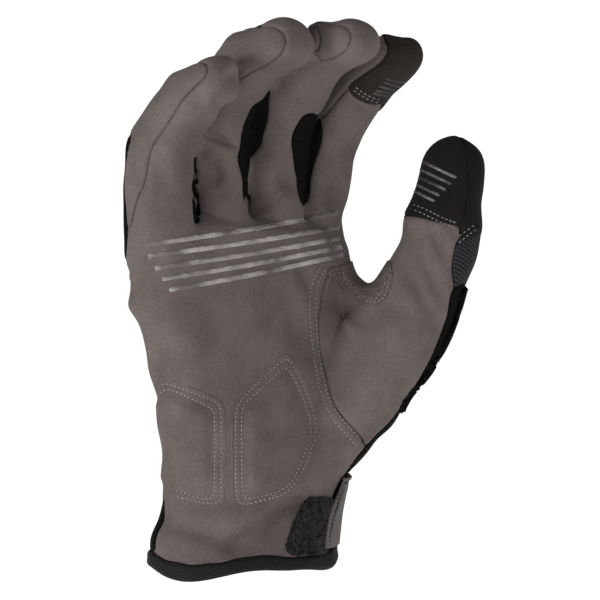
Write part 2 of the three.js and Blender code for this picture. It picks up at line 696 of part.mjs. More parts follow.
gripBars("palm_grip_bar", palmBars, onHand);
gripBars("thumb_grip_bar", thumbBars, onHand);
gripBars("index_grip_bar", indexBars, onIndexTip);

// Moulded guard over the knuckles, with a groove between each two fingers
const guardLayer = skin(-seamGap - guardThickness, -seamGap);
const guardFace = prism(scaled(guardOutline), 0, palmBreadth,
  new THREE.Vector3(-1, 0, 0), new THREE.Vector3(0, 1, 0));
const shallow = handForm(-seamGap - guardThickness / 2);
const grooves = guardGrooves.map((at) => prism(
  [[at - grooveBreadth / 2, 0], [at + grooveBreadth / 2, 0], [at + grooveBreadth / 2, 2 * palmHeight],
    [at - grooveBreadth / 2, 2 * palmHeight]],
  0, palmBreadth, new THREE.Vector3(-1, 0, 0), new THREE.Vector3(0, 1, 0),
));
addPiece("knuckle_guard", guardLayer.intersect(guardFace).subtract(joined(grooves).subtract(shallow)),
  "moulded");

export default glove;
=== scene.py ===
import math
import random

import bmesh
import bpy
import numpy as np
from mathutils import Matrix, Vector
from mathutils.bvhtree import BVHTree
from mathutils.kdtree import KDTree


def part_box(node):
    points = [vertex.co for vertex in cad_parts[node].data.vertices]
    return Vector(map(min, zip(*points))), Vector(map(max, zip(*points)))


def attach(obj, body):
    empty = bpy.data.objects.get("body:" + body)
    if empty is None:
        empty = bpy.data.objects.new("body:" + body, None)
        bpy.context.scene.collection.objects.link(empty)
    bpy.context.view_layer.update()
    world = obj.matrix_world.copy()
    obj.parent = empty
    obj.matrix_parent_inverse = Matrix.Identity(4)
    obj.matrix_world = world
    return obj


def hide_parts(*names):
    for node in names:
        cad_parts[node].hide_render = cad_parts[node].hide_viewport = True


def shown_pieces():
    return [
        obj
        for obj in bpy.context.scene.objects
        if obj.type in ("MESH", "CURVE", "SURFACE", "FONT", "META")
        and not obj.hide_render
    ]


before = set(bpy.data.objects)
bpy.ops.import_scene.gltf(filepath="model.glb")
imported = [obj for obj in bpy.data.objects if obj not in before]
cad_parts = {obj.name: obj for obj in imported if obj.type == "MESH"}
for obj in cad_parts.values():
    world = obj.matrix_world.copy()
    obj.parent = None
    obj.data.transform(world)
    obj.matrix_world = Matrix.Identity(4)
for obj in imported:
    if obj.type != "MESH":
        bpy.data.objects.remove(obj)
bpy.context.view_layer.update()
random.seed(7)
print("frame loaded, nodes:", len(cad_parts))

# Where the photograph was taken from. turn is round the glove in degrees, the rest in metres and pixels.
photo = {
    "turn": -35, "distance": 0.9, "aimRight": 0.0222, "aimUp": 0.1061, "width": 0.234, "pixels": 600,
    "sensor": 36}
turn = math.radians(photo["turn"])
rightward = Vector((math.cos(turn), math.sin(turn), 0))
toCamera = Vector((math.sin(turn), -math.cos(turn), 0))
upward = Vector((0, 0, 1))
eye = rightward * photo["aimRight"] + upward * photo["aimUp"] + toCamera * photo["distance"]
pixelSize = photo["width"] / photo["pixels"]


def makeCamera():
    data = bpy.data.cameras.new("camera")
    data.sensor_width = photo["sensor"]
    data.lens = photo["sensor"] * photo["distance"] / photo["width"]
    data.clip_start = 0.05
    data.clip_end = 10
    camera = bpy.data.objects.new("camera", data)
    camera.location = eye
    camera.rotation_mode = "QUATERNION"
    camera.rotation_quaternion = (-toCamera).to_track_quat("-Z", "Y")
    bpy.context.scene.collection.objects.link(camera)
    bpy.context.scene.camera = camera


# Pixels of the photograph that points of the glove fall on
def pixelsOf(points):
    points = np.asarray(points, float)
    offset = points - np.array(eye)
    depth = -(offset @ np.array(toCamera))
    scale = photo["distance"] / depth / pixelSize
    half = photo["pixels"] / 2
    return np.stack([half + (offset @ np.array(rightward)) * scale, half - offset[:, 2] * scale], axis=1)


def rayThrough(px, py):
    half = photo["pixels"] / 2
    sideways = rightward * (px - half) * pixelSize
    aim = sideways + upward * (half - py) * pixelSize - toCamera * photo["distance"]
    return aim.normalized()


# Sizes of the hand inside the glove, in metres, as in the part's source
hand = {
    "palmHeight": 0.135, "palmBreadth": 0.101, "palmThickness": 0.04, "thumbGirth": 0.016,
    "fingerLength": 0.09, "hemRise": 0.004, "hemAngle": 62, "belowHem": 0.012, "rootShare": 0.2,
    "rootTaper": 0.4, "kneeShare": 0.26, "bluntPower": 0.75, "tipTurn": 86, "thinRate": 1.4}
net = {
    "palmRings": 110, "palmSides": 150, "fingerRings": 70, "fingerSides": 64, "thumbRings": 70,
    "thumbSides": 72, "tipRings": 10, "voxel": 0.0009, "smoothing": 18}

# up, side, forward, wide, palm, back, arch
palmRows = np.array([
    (0.0, 0.0, 0.0, 0.785, 0.75, 0.75, 0.0), (0.1, 0.005, 0.0, 0.775, 0.7, 0.7, 0.0),
    (0.16, 0.02, 0.03, 0.755, 0.66, 0.65, 0.0), (0.23, 0.035, 0.04, 0.765, 0.66, 0.62, 0.0),
    (0.32, 0.035, 0.05, 0.785, 0.64, 0.58, 0.03), (0.42, 0.03, 0.05, 0.825, 0.6, 0.55, 0.06),
    (0.53, 0.02, 0.05, 0.865, 0.56, 0.52, 0.1), (0.65, 0.01, 0.04, 0.92, 0.53, 0.5, 0.1),
    (0.76, -0.02, 0.02, 0.975, 0.52, 0.49, 0.1), (0.86, -0.03, 0.02, 1.0, 0.51, 0.48, 0.14),
    (0.93, -0.03, 0.02, 0.98, 0.49, 0.45, 0.14), (0.98, -0.03, 0.05, 0.9, 0.44, 0.36, 0.04),
    (1.015, -0.03, 0.08, 0.78, 0.24, 0.18, 0.0)])

# name, side, forward, up, splay, roll, flex, length, proximal, middle, girth, root, joint, tip, flat, thin
fingers = {
    "pinky": (
        -0.402, 0.1, 0.915, -4, 21, (3, 38, 20), 0.822, 0.5, 0.28, 0.1426, 0.92, 1.0, 0.86, 1.0, 0.3),
    "ring": (
        -0.137, 0.08, 0.985, -1, 10, (1, 49, 27), 0.967, 0.52, 0.28, 0.1277, 0.88, 1.0, 0.93, 1.1, 0.42),
    "middle": (
        0.112, 0.11, 0.985, -1, 8, (8, 43, 24), 1.0, 0.51, 0.3, 0.1218, 0.93, 1.0, 0.92, 1.0, 0.42),
    "index": (0.34, 0.06, 0.94, 2, 7, (8, 36, 14), 0.967, 0.5, 0.29, 0.1109, 0.95, 0.92, 1.02, 0.95, 0.2)}
fingerKeys = ("side", "forward", "up", "splay", "roll", "flex", "length", "proximal", "middle", "girth",
              "root", "joint", "tip", "flat", "thin")

# out, up, near, spread, deep
thumbRows = np.array([
    (0.119, 0.244, -0.15, 1.1, 0.9), (0.275, 0.383, -0.188, 1.2, 1.1), (0.457, 0.539, -0.131, 1.27, 1.12),
    (0.631, 0.739, -0.094, 1.15, 1.06), (0.743, 0.906, -0.056, 0.96, 0.97), (0.79, 1.044, -0.038, 0.9, 0.88),
    (0.809, 1.15, -0.038, 0.8, 0.76)])
webRows = np.array([
    (0.356, 0.856, -0.488, 0.5, 0.6), (0.401, 0.806, -0.412, 0.52, 0.62), (0.483, 0.778, -0.281, 0.52, 0.64),
    (0.572, 0.811, -0.169, 0.5, 0.62), (0.639, 0.878, -0.112, 0.45, 0.6)])


def smoothStep(x):
    x = min(max(x, 0.0), 1.0)
    return x * x * (3 - 2 * x)


# A row of a table between its rows, on a smooth curve through them
def rowAt(rows, place):
    low = min(max(int(math.floor(place)), 0), len(rows) - 2)
    t = place - low
    a, b, c, d = rows[max(low - 1, 0)], rows[low], rows[low + 1], rows[min(low + 2, len(rows) - 1)]
    if t < 0:
        return b + (c - b) * t
    if t > 1:
        return c + (c - b) * (t - 1)
    square = (2 * a - 5 * b + 4 * c - d) * t * t
    cube = (3 * b - a - 3 * c + d) * t ** 3
    return 0.5 * (2 * b + (c - a) * t + square + cube)


def hemWave(angle):
    return hand["hemRise"] * (0.5 - 0.5 * math.cos(4 * (angle + math.radians(hand["hemAngle"]))))


def palmPoint(share, angle):
    place = share * len(palmRows) - 1
    up, side, forward, wide, palm, back, arch = rowAt(palmRows, max(place, 0))
    sine, cosine = math.sin(angle), math.cos(angle)
    depth = (palm if cosine > 0 else back) * hand["palmThickness"]
    point = Vector((side * hand["palmBreadth"] + wide * hand["palmBreadth"] / 2 * sine,
                    -(forward + arch * sine * sine) * hand["palmThickness"] - depth * cosine,
                    up * hand["palmHeight"]))
    point.z += hemWave(angle) * max(0, 1 - up / palmRows[1][0]) + min(place, 0) * hand["belowHem"]
    return point


def fingerValues(name):
    finger = dict(zip(fingerKeys, fingers[name]))
    finger["reach"] = finger["length"] * hand["fingerLength"]
    finger["half"] = finger["girth"] * hand["palmBreadth"]
    return finger


# Middle, direction, palmward and sideways of a finger at a distance along it
def fingerFrame(finger, along):
    roll, splay = math.radians(finger["roll"]), math.radians(finger["splay"])
    sideways = Vector((math.cos(roll), math.sin(roll), 0))
    forward = Vector((math.sin(roll), -math.cos(roll), 0))
    straight = upward * math.cos(splay) + sideways * math.sin(splay)
    knees = (0, finger["proximal"], finger["proximal"] + finger["middle"])

    def heading(distance):
        bend = sum(flex * smoothStep((distance / finger["reach"] - knee) / hand["kneeShare"] + 0.5)
                   for flex, knee in zip(finger["flex"], knees))
        return straight * math.cos(math.radians(bend)) + forward * math.sin(math.radians(bend))

    middle = Vector((finger["side"] * hand["palmBreadth"], -finger["forward"] * hand["palmThickness"],
                     finger["up"] * hand["palmHeight"]))
    steps = 24
    for step in range(steps):
        middle += heading(along * (step + 0.5) / steps) * along / steps
    axis = heading(along)
    return middle, axis, sideways.cross(axis).normalized(), sideways


def fingerGirth(finger, share):
    if share < 0:
        return finger["root"] * (1 - hand["rootTaper"] * smoothStep(-share / hand["rootShare"]))
    if share < finger["proximal"]:
        mix = smoothStep(share / finger["proximal"])
        return finger["root"] + (finger["joint"] - finger["root"]) * mix
    mix = smoothStep((share - finger["proximal"]) / (1 - finger["proximal"]))
    return finger["joint"] + (finger["tip"] - finger["joint"]) * mix


def planePoint(out, up, near):
    return rightward * out * hand["palmBreadth"] + upward * up * hand["palmHeight"] \
        + toCamera * near * hand["palmThickness"]


def planeFrame(rows, place):
    out, up, near, spread, deep = rowAt(rows, place)
    before, after = rowAt(rows, place - 0.5), rowAt(rows, place + 0.5)
    axis = (planePoint(*after[:3]) - planePoint(*before[:3])).normalized()
    sideways = axis.cross(toCamera).normalized()
    palmward = sideways.cross(axis).normalized()
    girth = hand["thumbGirth"]
    return planePoint(out, up, near), axis, palmward, sideways, spread * girth, deep * girth


# A line of vertices spun round gives a tube, and place puts each of its vertices on the form
def spunTube(rings, sides, place):
    bm = bmesh.new()
    line = [bm.verts.new((1, 0, ring)) for ring in range(rings)]
    edges = [bm.edges.new(pair) for pair in zip(line, line[1:])]
    bmesh.ops.spin(bm, geom=line + edges, cent=(0, 0, 0), axis=(0, 0, 1), angle=2 * math.pi, steps=sides,
                   use_merge=True)
    frames = {}
    for vert in bm.verts:
        vert.co = place(round(vert.co.z), math.atan2(vert.co.y, vert.co.x), frames)
    bmesh.ops.holes_fill(bm, edges=[edge for edge in bm.edges if edge.is_boundary], sides=0)
    bmesh.ops.recalc_face_normals(bm, faces=bm.faces)
    return bm


def palmTube():
    last = net["palmRings"] - 1

    def place(ring, angle, frames):
        return palmPoint(ring / last, angle)

    return spunTube(net["palmRings"], net["palmSides"], place)


def fingerTube(name):
    finger = fingerValues(name)
    body, tips = net["fingerRings"], net["tipRings"]

    def place(ring, angle, frames):
        if ring not in frames:
            share = min(-hand["rootShare"] + (1 + hand["rootShare"]) * ring / (body - 1), 1)
            swing = math.radians(hand["tipTurn"]) * max(0, ring - body + 1) / tips
            tip = finger["tip"] * finger["half"]
            along = share * finger["reach"] + tip * math.sin(swing)
            shrink = math.cos(swing) ** hand["bluntPower"]
            half = fingerGirth(finger, share) * finger["half"] * shrink
            beyond = (share - finger["proximal"]) / (1 - finger["proximal"])
            thin = finger["thin"] * smoothStep(beyond * hand["thinRate"])
            frames[ring] = (fingerFrame(finger, along), half, half * finger["flat"], 1 - thin)
        (middle, axis, palmward, sideways), breadth, depth, thinner = frames[ring]
        depth *= thinner if math.cos(angle) > 0 else 1
        return middle + palmward * depth * math.cos(angle) + sideways * breadth * math.sin(angle)

    return spunTube(body + tips, net["fingerSides"], place)


def planeTube(rows, rounded):
    body, tips = net["thumbRings"], net["tipRings"] if rounded else 0
    end = len(rows) - 1

    def place(ring, angle, frames):
        if ring not in frames:
            at = end * min(ring / (body - 1), 1)
            swing = math.radians(hand["tipTurn"]) * max(0, ring - body + 1) / max(tips, 1)
            middle, axis, palmward, sideways, spread, deep = planeFrame(rows, at)
            shrink = math.cos(swing) ** hand["bluntPower"]
            middle = middle + axis * spread * math.sin(swing)
            frames[ring] = (middle, palmward, sideways, spread * shrink, deep * shrink)
        middle, palmward, sideways, spread, deep = frames[ring]
        return middle + palmward * deep * math.cos(angle) + sideways * spread * math.sin(angle)

    return spunTube(body + tips, net["thumbSides"], place)


def smoothOnce(bm, verts):
    bmesh.ops.smooth_vert(bm, verts=verts, factor=0.5, use_axis_x=True, use_axis_y=True, use_axis_z=True)


# The whole hand as one closed skin of small faces
def makeSkin():
    whole = bmesh.new()
    for tube in [palmTube(), *[fingerTube(name) for name in fingers], planeTube(thumbRows, True),
                 planeTube(webRows, False)]:
        mesh = bpy.data.meshes.new("tube")
        tube.to_mesh(mesh)
        whole.from_mesh(mesh)
        tube.free()
        bpy.data.meshes.remove(mesh)
    mesh = bpy.data.meshes.new("skin")
    whole.to_mesh(mesh)
    whole.free()
    holder = bpy.data.objects.new("skin", mesh)
    bpy.context.scene.collection.objects.link(holder)
    remesh = holder.modifiers.new("remesh", "REMESH")
    remesh.mode = "VOXEL"
    remesh.voxel_size = net["voxel"]
    bpy.context.view_layer.update()
    fine = bpy.data.meshes.new_from_object(holder.evaluated_get(bpy.context.evaluated_depsgraph_get()))
    bpy.data.objects.remove(holder)
    skin = bmesh.new()
    skin.from_mesh(fine)
    for _ in range(net["smoothing"]):
        smoothOnce(skin, skin.verts)
    skin.normal_update()
    return skin


# Keeps the outer surface alone, without what the overlaps left inside
def keepOutside(skin):
    seen, largest = set(), []
    for start in skin.verts:
        if start in seen:
            continue
        island, queue = [start], [start]
        seen.add(start)
        while queue:
            for edge in queue.pop().link_edges:
                for vert in edge.verts:
                    if vert not in seen:
                        seen.add(vert)
                        island.append(vert)
                        queue.append(vert)
        if len(island) > len(largest):
            largest = island
    kept = set(largest)
    bmesh.ops.delete(skin, geom=[vert for vert in skin.verts if vert not in kept], context="VERTS")


def smoothSteps(x):
    x = np.clip(x, 0, 1)
    return x * x * (3 - 2 * x)


def coordinates(bm):
    return np.array([vert.co for vert in bm.verts])


# Distance of points to a line through stations, and how far along it each is, as a share
def distanceTo(points, stations, closed=False):
    stations = np.asarray(stations, float)
    ends = np.roll(stations, -1, axis=0) if closed else stations[1:]
    starts = stations if closed else stations[:-1]
    spans = np.linalg.norm(ends - starts, axis=1)
    before = np.concatenate([[0], np.cumsum(spans)])
    best = np.full(len(points), np.inf)
    share = np.zeros(len(points))
    for start, end, span, passed in zip(starts, ends, spans, before):
        step = (end - start) / max(span, 1e-9)
        along = np.clip((points - start) @ step, 0, span)
        away = np.linalg.norm(points - start - along[:, None] * step, axis=1)
        closer = away < best
        best[closer] = away[closer]
        share[closer] = (passed + along[closer]) / before[-1]
    return best, share


# Signed distance of flat points to a closed outline, above nought inside
def insideOf(points, outline):
    away, _ = distanceTo(points, outline, closed=True)
    inside = np.zeros(len(points), bool)
    for (x0, y0), (x1, y1) in zip(outline, np.roll(np.asarray(outline, float), -1, axis=0)):
        crosses = (y0 > points[:, 1]) != (y1 > points[:, 1])
        x = x0 + (points[:, 1] - y0) / np.where(y1 == y0, 1e-9, y1 - y0) * (x1 - x0)
        inside ^= crosses & (points[:, 0] < x)
    return np.where(inside, away, -away)


# Rounds an outline's or a line's corners by cutting them again and again
def rounded(stations, closed, rounds=3):
    line = np.asarray(stations, float)
    for _ in range(rounds):
        after = np.roll(line, -1, axis=0) if closed else line[1:]
        start = line if closed else line[:-1]
        pair = [start * 0.75 + after * 0.25, start * 0.25 + after * 0.75]
        cut = np.stack(pair, axis=1).reshape(-1, line.shape[1])
        line = cut if closed else np.vstack([line[:1], cut, line[-1:]])
    return line


# Dents and folds that show in the photograph: pixels from and to, depth and half width in metres
dents = [
    (203, 133, 237, 145, 0.0016, 0.0016), (204, 160, 222, 186, 0.0016, 0.0045),
    (278, 188, 296, 172, 0.0017, 0.005), (258, 200, 262, 216, 0.0006, 0.004),
    (330, 188, 345, 205, 0.0014, 0.005), (322, 206, 338, 190, 0.0008, 0.004),
    (412, 232, 444, 300, 0.0014, 0.004), (428, 222, 447, 262, 0.001, 0.003),
    (404, 262, 436, 322, 0.001, 0.0035), (330, 352, 362, 392, 0.0012, 0.008),
    (352, 330, 382, 312, 0.0008, 0.006), (292, 306, 306, 350, 0.0013, 0.0055),
    (150, 246, 134, 300, 0.0006, 0.004), (156, 262, 146, 330, 0.0008, 0.005),
    (146, 352, 162, 372, 0.0006, 0.0022), (168, 470, 176, 488, 0.001, 0.003),
    (165, 520, 250, 548, 0.0012, 0.004), (176, 505, 300, 500, 0.0008, 0.004),
    (236, 548, 326, 490, 0.0021, 0.0046), (210, 556, 262, 528, 0.0008, 0.003),
    (262, 520, 312, 500, 0.001, 0.0025), (190, 96, 206, 112, 0.0006, 0.004),
    (150, 150, 170, 190, 0.0006, 0.004), (228, 84, 240, 70, 0.0008, 0.0025),
    (250, 138, 262, 150, 0.0006, 0.003), (300, 96, 318, 110, 0.0006, 0.003),
    (346, 112, 366, 118, 0.001, 0.003), (352, 142, 358, 160, 0.0006, 0.003),
    (300, 262, 312, 290, 0.0007, 0.003), (196, 330, 244, 344, 0.0005, 0.007)]
# Soft swells of flesh and padding, in the same columns
swells = [
    (172, 300, 176, 352, 0.001, 0.01), (230, 320, 270, 330, 0.0006, 0.012),
    (386, 350, 404, 312, 0.0012, 0.01), (340, 330, 350, 316, 0.0008, 0.006),
    (216, 226, 320, 206, 0.0005, 0.006), (180, 214, 230, 220, 0.0006, 0.006)]
# Places that the photograph shows a little further over: whose, pixels, pixels to move by, radius in pixels
nudges = [
    ("ring", 235, 42, -2, -4, 16), ("pinky", 174, 74, -3, -3, 16), ("middle", 318, 32, -4, -9, 14),
    ("index", 398, 31, 2, 7, 16), ("glove", 348, 218, -6, 0, 16), ("glove", 354, 256, -4, 2, 14),
    ("glove", 370, 279, 0, 4, 12), ("glove", 401, 215, -5, 0, 16), ("glove", 455, 139, 0, -4, 14),
    ("glove", 484, 205, -4, 0, 22), ("glove", 468, 290, -2, -1, 16), ("glove", 410, 405, -3, -4, 22),
    ("glove", 380, 440, -2, -3, 16), ("glove", 128, 308, -5, 0, 12), ("glove", 148, 370, -4, 0, 22),
    ("glove", 160, 450, 3, 0, 16), ("glove", 145, 558, 3, 0, 12), ("glove", 312, 573, 0, -6, 22),
    ("glove", 340, 550, -3, 0, 12), ("glove", 123, 165, 2, 0, 20), ("pinky", 244, 82, -10, 0, 18),
    ("pinky", 228, 106, -8, -3, 14), ("pinky", 208, 136, -6, 0, 14), ("pinky", 202, 158, -6, 0, 14),
    ("pinky", 198, 186, -5, 0, 14)]
surface = {"deepen": 2.3, "ripple": 0.00035, "rippleSize": 0.011, "fold": 0.00016, "foldSize": 0.004}


# The finger whose tube each point is nearest to
def fingerOf(points):
    tubes = {name: fingerTube(name) for name in fingers}
    tree = KDTree(sum(len(tube.verts) for tube in tubes.values()))
    owners = []
    for name, tube in tubes.items():
        for vert in tube.verts:
            tree.insert(vert.co, len(owners))
            owners.append(name)
        tube.free()
    tree.balance()
    return np.array([owners[tree.find(point)[1]] for point in points])


# Moves the skin sideways across the photograph, as the table of nudges says
def nudgeSkin(skin, owners):
    points = coordinates(skin)
    pixels = pixelsOf(points)
    across, up = np.array(rightward), np.array(upward)
    move = np.zeros_like(points)
    for owner, x, y, right, down, radius in nudges:
        weight = np.exp(-((pixels[:, 0] - x) ** 2 + (pixels[:, 1] - y) ** 2) / radius ** 2)
        if owner != "glove":
            weight = weight * (owners == owner)
        move += weight[:, None] * (across * right - up * down) * pixelSize
    for vert, amount in zip(skin.verts, move):
        vert.co += Vector(amount)


# Moves the near side of the skin as the photograph's folds do, and gives it a light unevenness all over
def foldSkin(skin):
    skin.normal_update()
    points = coordinates(skin)
    normals = np.array([vert.normal for vert in skin.verts])
    pixels = pixelsOf(points)
    facing = smoothSteps(normals @ np.array(toCamera) / 0.35)
    move = np.zeros(len(points))
    for sign, rows in ((-1, dents), (1, swells)):
        for x0, y0, x1, y1, depth, half in rows:
            away, share = distanceTo(pixels, [(x0, y0), (x1, y1)])
            taper = 0.35 + 0.65 * np.sin(np.pi * np.clip(share, 0.02, 0.98))
            shape = np.exp(-(away * pixelSize / half) ** 2)
            move += sign * depth * surface["deepen"] * taper * facing * shape
    for size, height in ((surface["rippleSize"], surface["ripple"]), (surface["foldSize"], surface["fold"])):
        wave = np.sin(points[:, 0] / size * 2.1 + 1.3 * np.sin(points[:, 2] / size)) \
            + np.sin(points[:, 2] / size * 1.7 + 1.1 * np.sin(points[:, 1] / size * 1.4 + 2)) \
            + np.sin(points[:, 1] / size * 2.3 + 1.7 * np.sin(points[:, 0] / size * 0.9 + 1))
        move += height * wave / 2
    for vert, normal, amount in zip(skin.verts, normals, move):
        vert.co += Vector(normal) * amount
    skin.normal_update()


def treeOf(node):
    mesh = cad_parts[node].data
    faces = [face.vertices for face in mesh.polygons]
    return BVHTree.FromPolygons([vert.co for vert in mesh.vertices], faces)


# Distance of every point to the nearest of a node's faces, as far as it matters
def distanceToNode(points, node, limit=0.006):
    tree = treeOf(node)
    low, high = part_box(node)
    near = np.all((points > np.array(low) - limit) & (points < np.array(high) + limit), axis=1)
    away = np.full(len(points), limit)
    for place in np.nonzero(near)[0]:
        found = tree.find_nearest(points[place], limit)
        if found[0] is not None:
            away[place] = found[3]
    return away


# Cuts a mesh along the line where a value is nought. rows holds each vertex's values, and valueOf reads
# the one that matters from them.
def cutAlong(bm, rows, valueOf):
    values = valueOf(rows)
    verts, edges = list(bm.verts), list(bm.edges)
    ends = np.array([(edge.verts[0].index, edge.verts[1].index) for edge in edges])
    tiny = 1e-9
    for attempt in ("slide", "split"):
        a, b = values[ends[:, 0]], values[ends[:, 1]]
        crossing = np.nonzero((a * b < 0) & (np.abs(a) > tiny) & (np.abs(b) > tiny))[0]
        share = a[crossing] / (a[crossing] - b[crossing])
        if attempt == "slide":
            for place, mix in zip(crossing, share):
                if 0.2 < mix < 0.8:
                    continue
                start, end = ends[place]
                keep, other, mix = (start, end, mix) if mix <= 0.2 else (end, start, 1 - mix)
                if abs(values[keep]) <= tiny:
                    continue
                verts[keep].co = verts[keep].co.lerp(verts[other].co, mix)
                rows[keep] = rows[keep] * (1 - mix) + rows[other] * mix
                values[keep] = 0
            continue
        added, onLine = [], set(verts[place] for place in np.nonzero(np.abs(values) <= tiny)[0])
        touched = set()
        for place, mix in zip(crossing, share):
            start, end = ends[place]
            touched.update(edges[place].link_faces)
            made = bmesh.utils.edge_split(edges[place], verts[start], mix)[1]
            made.index = len(rows) + len(added)
            added.append(rows[start] * (1 - mix) + rows[end] * mix)
            onLine.add(made)
        if added:
            rows = np.vstack([rows, added])
        for vert in list(onLine):
            touched.update(vert.link_faces)
    values = np.concatenate([values, np.zeros(len(rows) - len(values))])
    for face in touched:
        if not face.is_valid:
            continue
        corners = [vert for vert in face.verts if vert in onLine]
        sides = [values[vert.index] for vert in face.verts if vert not in onLine]
        if len(corners) == 2 and min(sides, default=0) < 0 < max(sides, default=0):
            own = [edge for edge in face.edges if corners[0] in edge.verts]
            if not any(edge.other_vert(corners[0]) == corners[1] for edge in own):
                bmesh.utils.face_split(face, corners[0], corners[1])
    rows = rows[[vert.index for vert in bm.verts]]
    bm.verts.index_update()
    return rows


makeCamera()
skin = makeSkin()
keepOutside(skin)
skin.verts.index_update()
flatPoints = coordinates(skin)
owners = fingerOf(flatPoints)
nudgeSkin(skin, owners)
foldSkin(skin)


# A copy of those faces of a mesh that kept marks
def partOf(bm, kept):
    part = bm.copy()
    bmesh.ops.delete(part, geom=[face for face, keep in zip(part.faces, kept) if not keep], context="FACES")
    part.verts.index_update()
    return part


# A mesh with its vertices' places, how far each faces the camera, and the corners of its faces
def sheetOf(bm):
    facing = np.array([vert.normal.dot(toCamera) for vert in bm.verts])
    corners = np.array([[vert.index for vert in face.verts] for face in bm.faces])
    return {"bm": bm, "points": coordinates(bm), "facing": facing, "corners": corners}


folded = sheetOf(skin.copy())
folded["flat"] = flatPoints
folded["finger"] = owners
print("skin made and folded, faces:", len(skin.faces))


def addNode(tree, kind, inputs=None, **settings):
    node = tree.nodes.new("ShaderNode" + kind)
    for key, value in settings.items():
        setattr(node, key, value)
    for key, value in (inputs or {}).items():
        if isinstance(value, bpy.types.NodeSocket):
            tree.links.new(value, node.inputs[key])
        else:
            node.inputs[key].default_value = value
    return node


def sumUp(tree, operation, *values):
    return addNode(tree, "Math", dict(enumerate(values)), operation=operation).outputs[0]


def noise(tree, place, scale, detail=2, roughness=0.5):
    settings = {"Vector": place, "Scale": scale, "Detail": detail, "Roughness": roughness}
    return addNode(tree, "TexNoise", settings).outputs["Fac"]


def stretched(tree, value, low, high):
    return addNode(tree, "MapRange", {"Value": value, "From Min": low, "From Max": high}).outputs["Result"]


def blended(tree, share, first, second):
    return addNode(tree, "Mix", {0: share, 6: first, 7: second}, data_type="RGBA").outputs[2]


# A node group: inputs with their values, and what fill makes of them as outputs
def makeGroup(name, inputs, fill):
    group = bpy.data.node_groups.new(name, "ShaderNodeTree")
    for title, value in inputs.items():
        kind = "NodeSocketColor" if isinstance(value, tuple) else "NodeSocketFloat"
        group.interface.new_socket(title, in_out="INPUT", socket_type=kind).default_value = value
    start = group.nodes.new("NodeGroupInput")
    place = addNode(group, "TexCoord").outputs["Object"]
    made = fill(group, start.outputs, place)
    for title in made:
        kind = "NodeSocketColor" if title == "Color" else "NodeSocketFloat"
        group.interface.new_socket(title, in_out="OUTPUT", socket_type=kind)
    end = group.nodes.new("NodeGroupOutput")
    for title, socket in made.items():
        group.links.new(socket, end.inputs[title])
    return group


# Brushed leather: broad patches, short fibres that catch the light, and a fine grain
def fillNap(tree, given, place):
    patches = noise(tree, place, 70, 3)
    flecks = noise(tree, place, 1000, 4, 0.7)
    fibres = noise(tree, place, 3600, 2, 0.6)
    tone = sumUp(tree, "ADD", sumUp(tree, "MULTIPLY", patches, 0.3), sumUp(tree, "MULTIPLY", flecks, 0.35))
    tone = sumUp(tree, "ADD", tone, sumUp(tree, "MULTIPLY", fibres, 0.35))
    tone = stretched(tree, tone, 0.36, 0.64)
    height = sumUp(tree, "ADD", sumUp(tree, "MULTIPLY", flecks, 0.6), sumUp(tree, "MULTIPLY", fibres, 0.4))
    rough = sumUp(tree, "ADD", sumUp(tree, "MULTIPLY", flecks, given["Gloss"]), given["Roughness"])
    color = blended(tree, tone, given["Dark"], given["Light"])
    return {"Color": color, "Roughness": rough, "Height": height}


# Knitted net: round holes in rows, with a rib between them. The holes are coloured near-black, painted shade
# of the dark inside seen through them
def fillNet(tree, given, place):
    cells = addNode(tree, "TexVoronoi", {"Vector": place, "Scale": given["Scale"], "Randomness": 0.25})
    hole = stretched(tree, cells.outputs["Distance"], 0.22, 0.42)
    yarn = noise(tree, place, 2600, 2)
    height = sumUp(tree, "ADD", sumUp(tree, "MULTIPLY", hole, 0.8), sumUp(tree, "MULTIPLY", yarn, 0.2))
    return {"Color": blended(tree, hole, given["GapShade"], given["Yarn"]), "Height": height}


# Ribs that run along the finger, with the loops of the yarn across them. The colour darkens where the relief
# is low: painted shade between the ribs and loops, with a little random yarn tone
def fillKnit(tree, given, place):
    turned = addNode(tree, "Mapping", {"Vector": place, "Rotation": (0.25, -0.35, 0.6)}).outputs["Vector"]
    part = addNode(tree, "SeparateXYZ", {"Vector": turned}).outputs
    ribs = sumUp(tree, "SINE", sumUp(tree, "MULTIPLY", part["Z"], given["Ribs"]))
    loops = sumUp(tree, "SINE", sumUp(tree, "MULTIPLY", part["X"], given["Loops"]))
    yarn = noise(tree, place, 2200, 2)
    height = sumUp(tree, "ADD", sumUp(tree, "MULTIPLY", ribs, 0.35), sumUp(tree, "MULTIPLY", loops, 0.15))
    height = sumUp(tree, "ADD", sumUp(tree, "ADD", height, 0.5), sumUp(tree, "MULTIPLY", yarn, 0.2))
    color = blended(tree, stretched(tree, height, 0.2, 1), given["GapShade"], given["Yarn"])
    return {"Color": color, "Height": height}


# Tape woven of ribs and rows all the way round the cuff. Its colour follows the relief: partly random yarn
# tone, partly painted shade in the low places of the weave
def fillTape(tree, given, place):
    part = addNode(tree, "SeparateXYZ", {"Vector": place}).outputs
    around = sumUp(tree, "ARCTAN2", part["X"], part["Y"])
    ribs = sumUp(tree, "SINE", sumUp(tree, "MULTIPLY", around, given["Ribs"]))
    rows = sumUp(tree, "SINE", sumUp(tree, "MULTIPLY", part["Z"], given["Rows"]))
    weave = sumUp(tree, "MULTIPLY", ribs, rows)
    yarn = noise(tree, place, 1300, 3, 0.7)
    height = sumUp(tree, "ADD", sumUp(tree, "MULTIPLY", weave, 0.3), sumUp(tree, "MULTIPLY", yarn, 0.6))
    return {"Color": blended(tree, stretched(tree, height, -0.1, 0.7), given["GapShade"], given["Yarn"]),
            "Height": height}


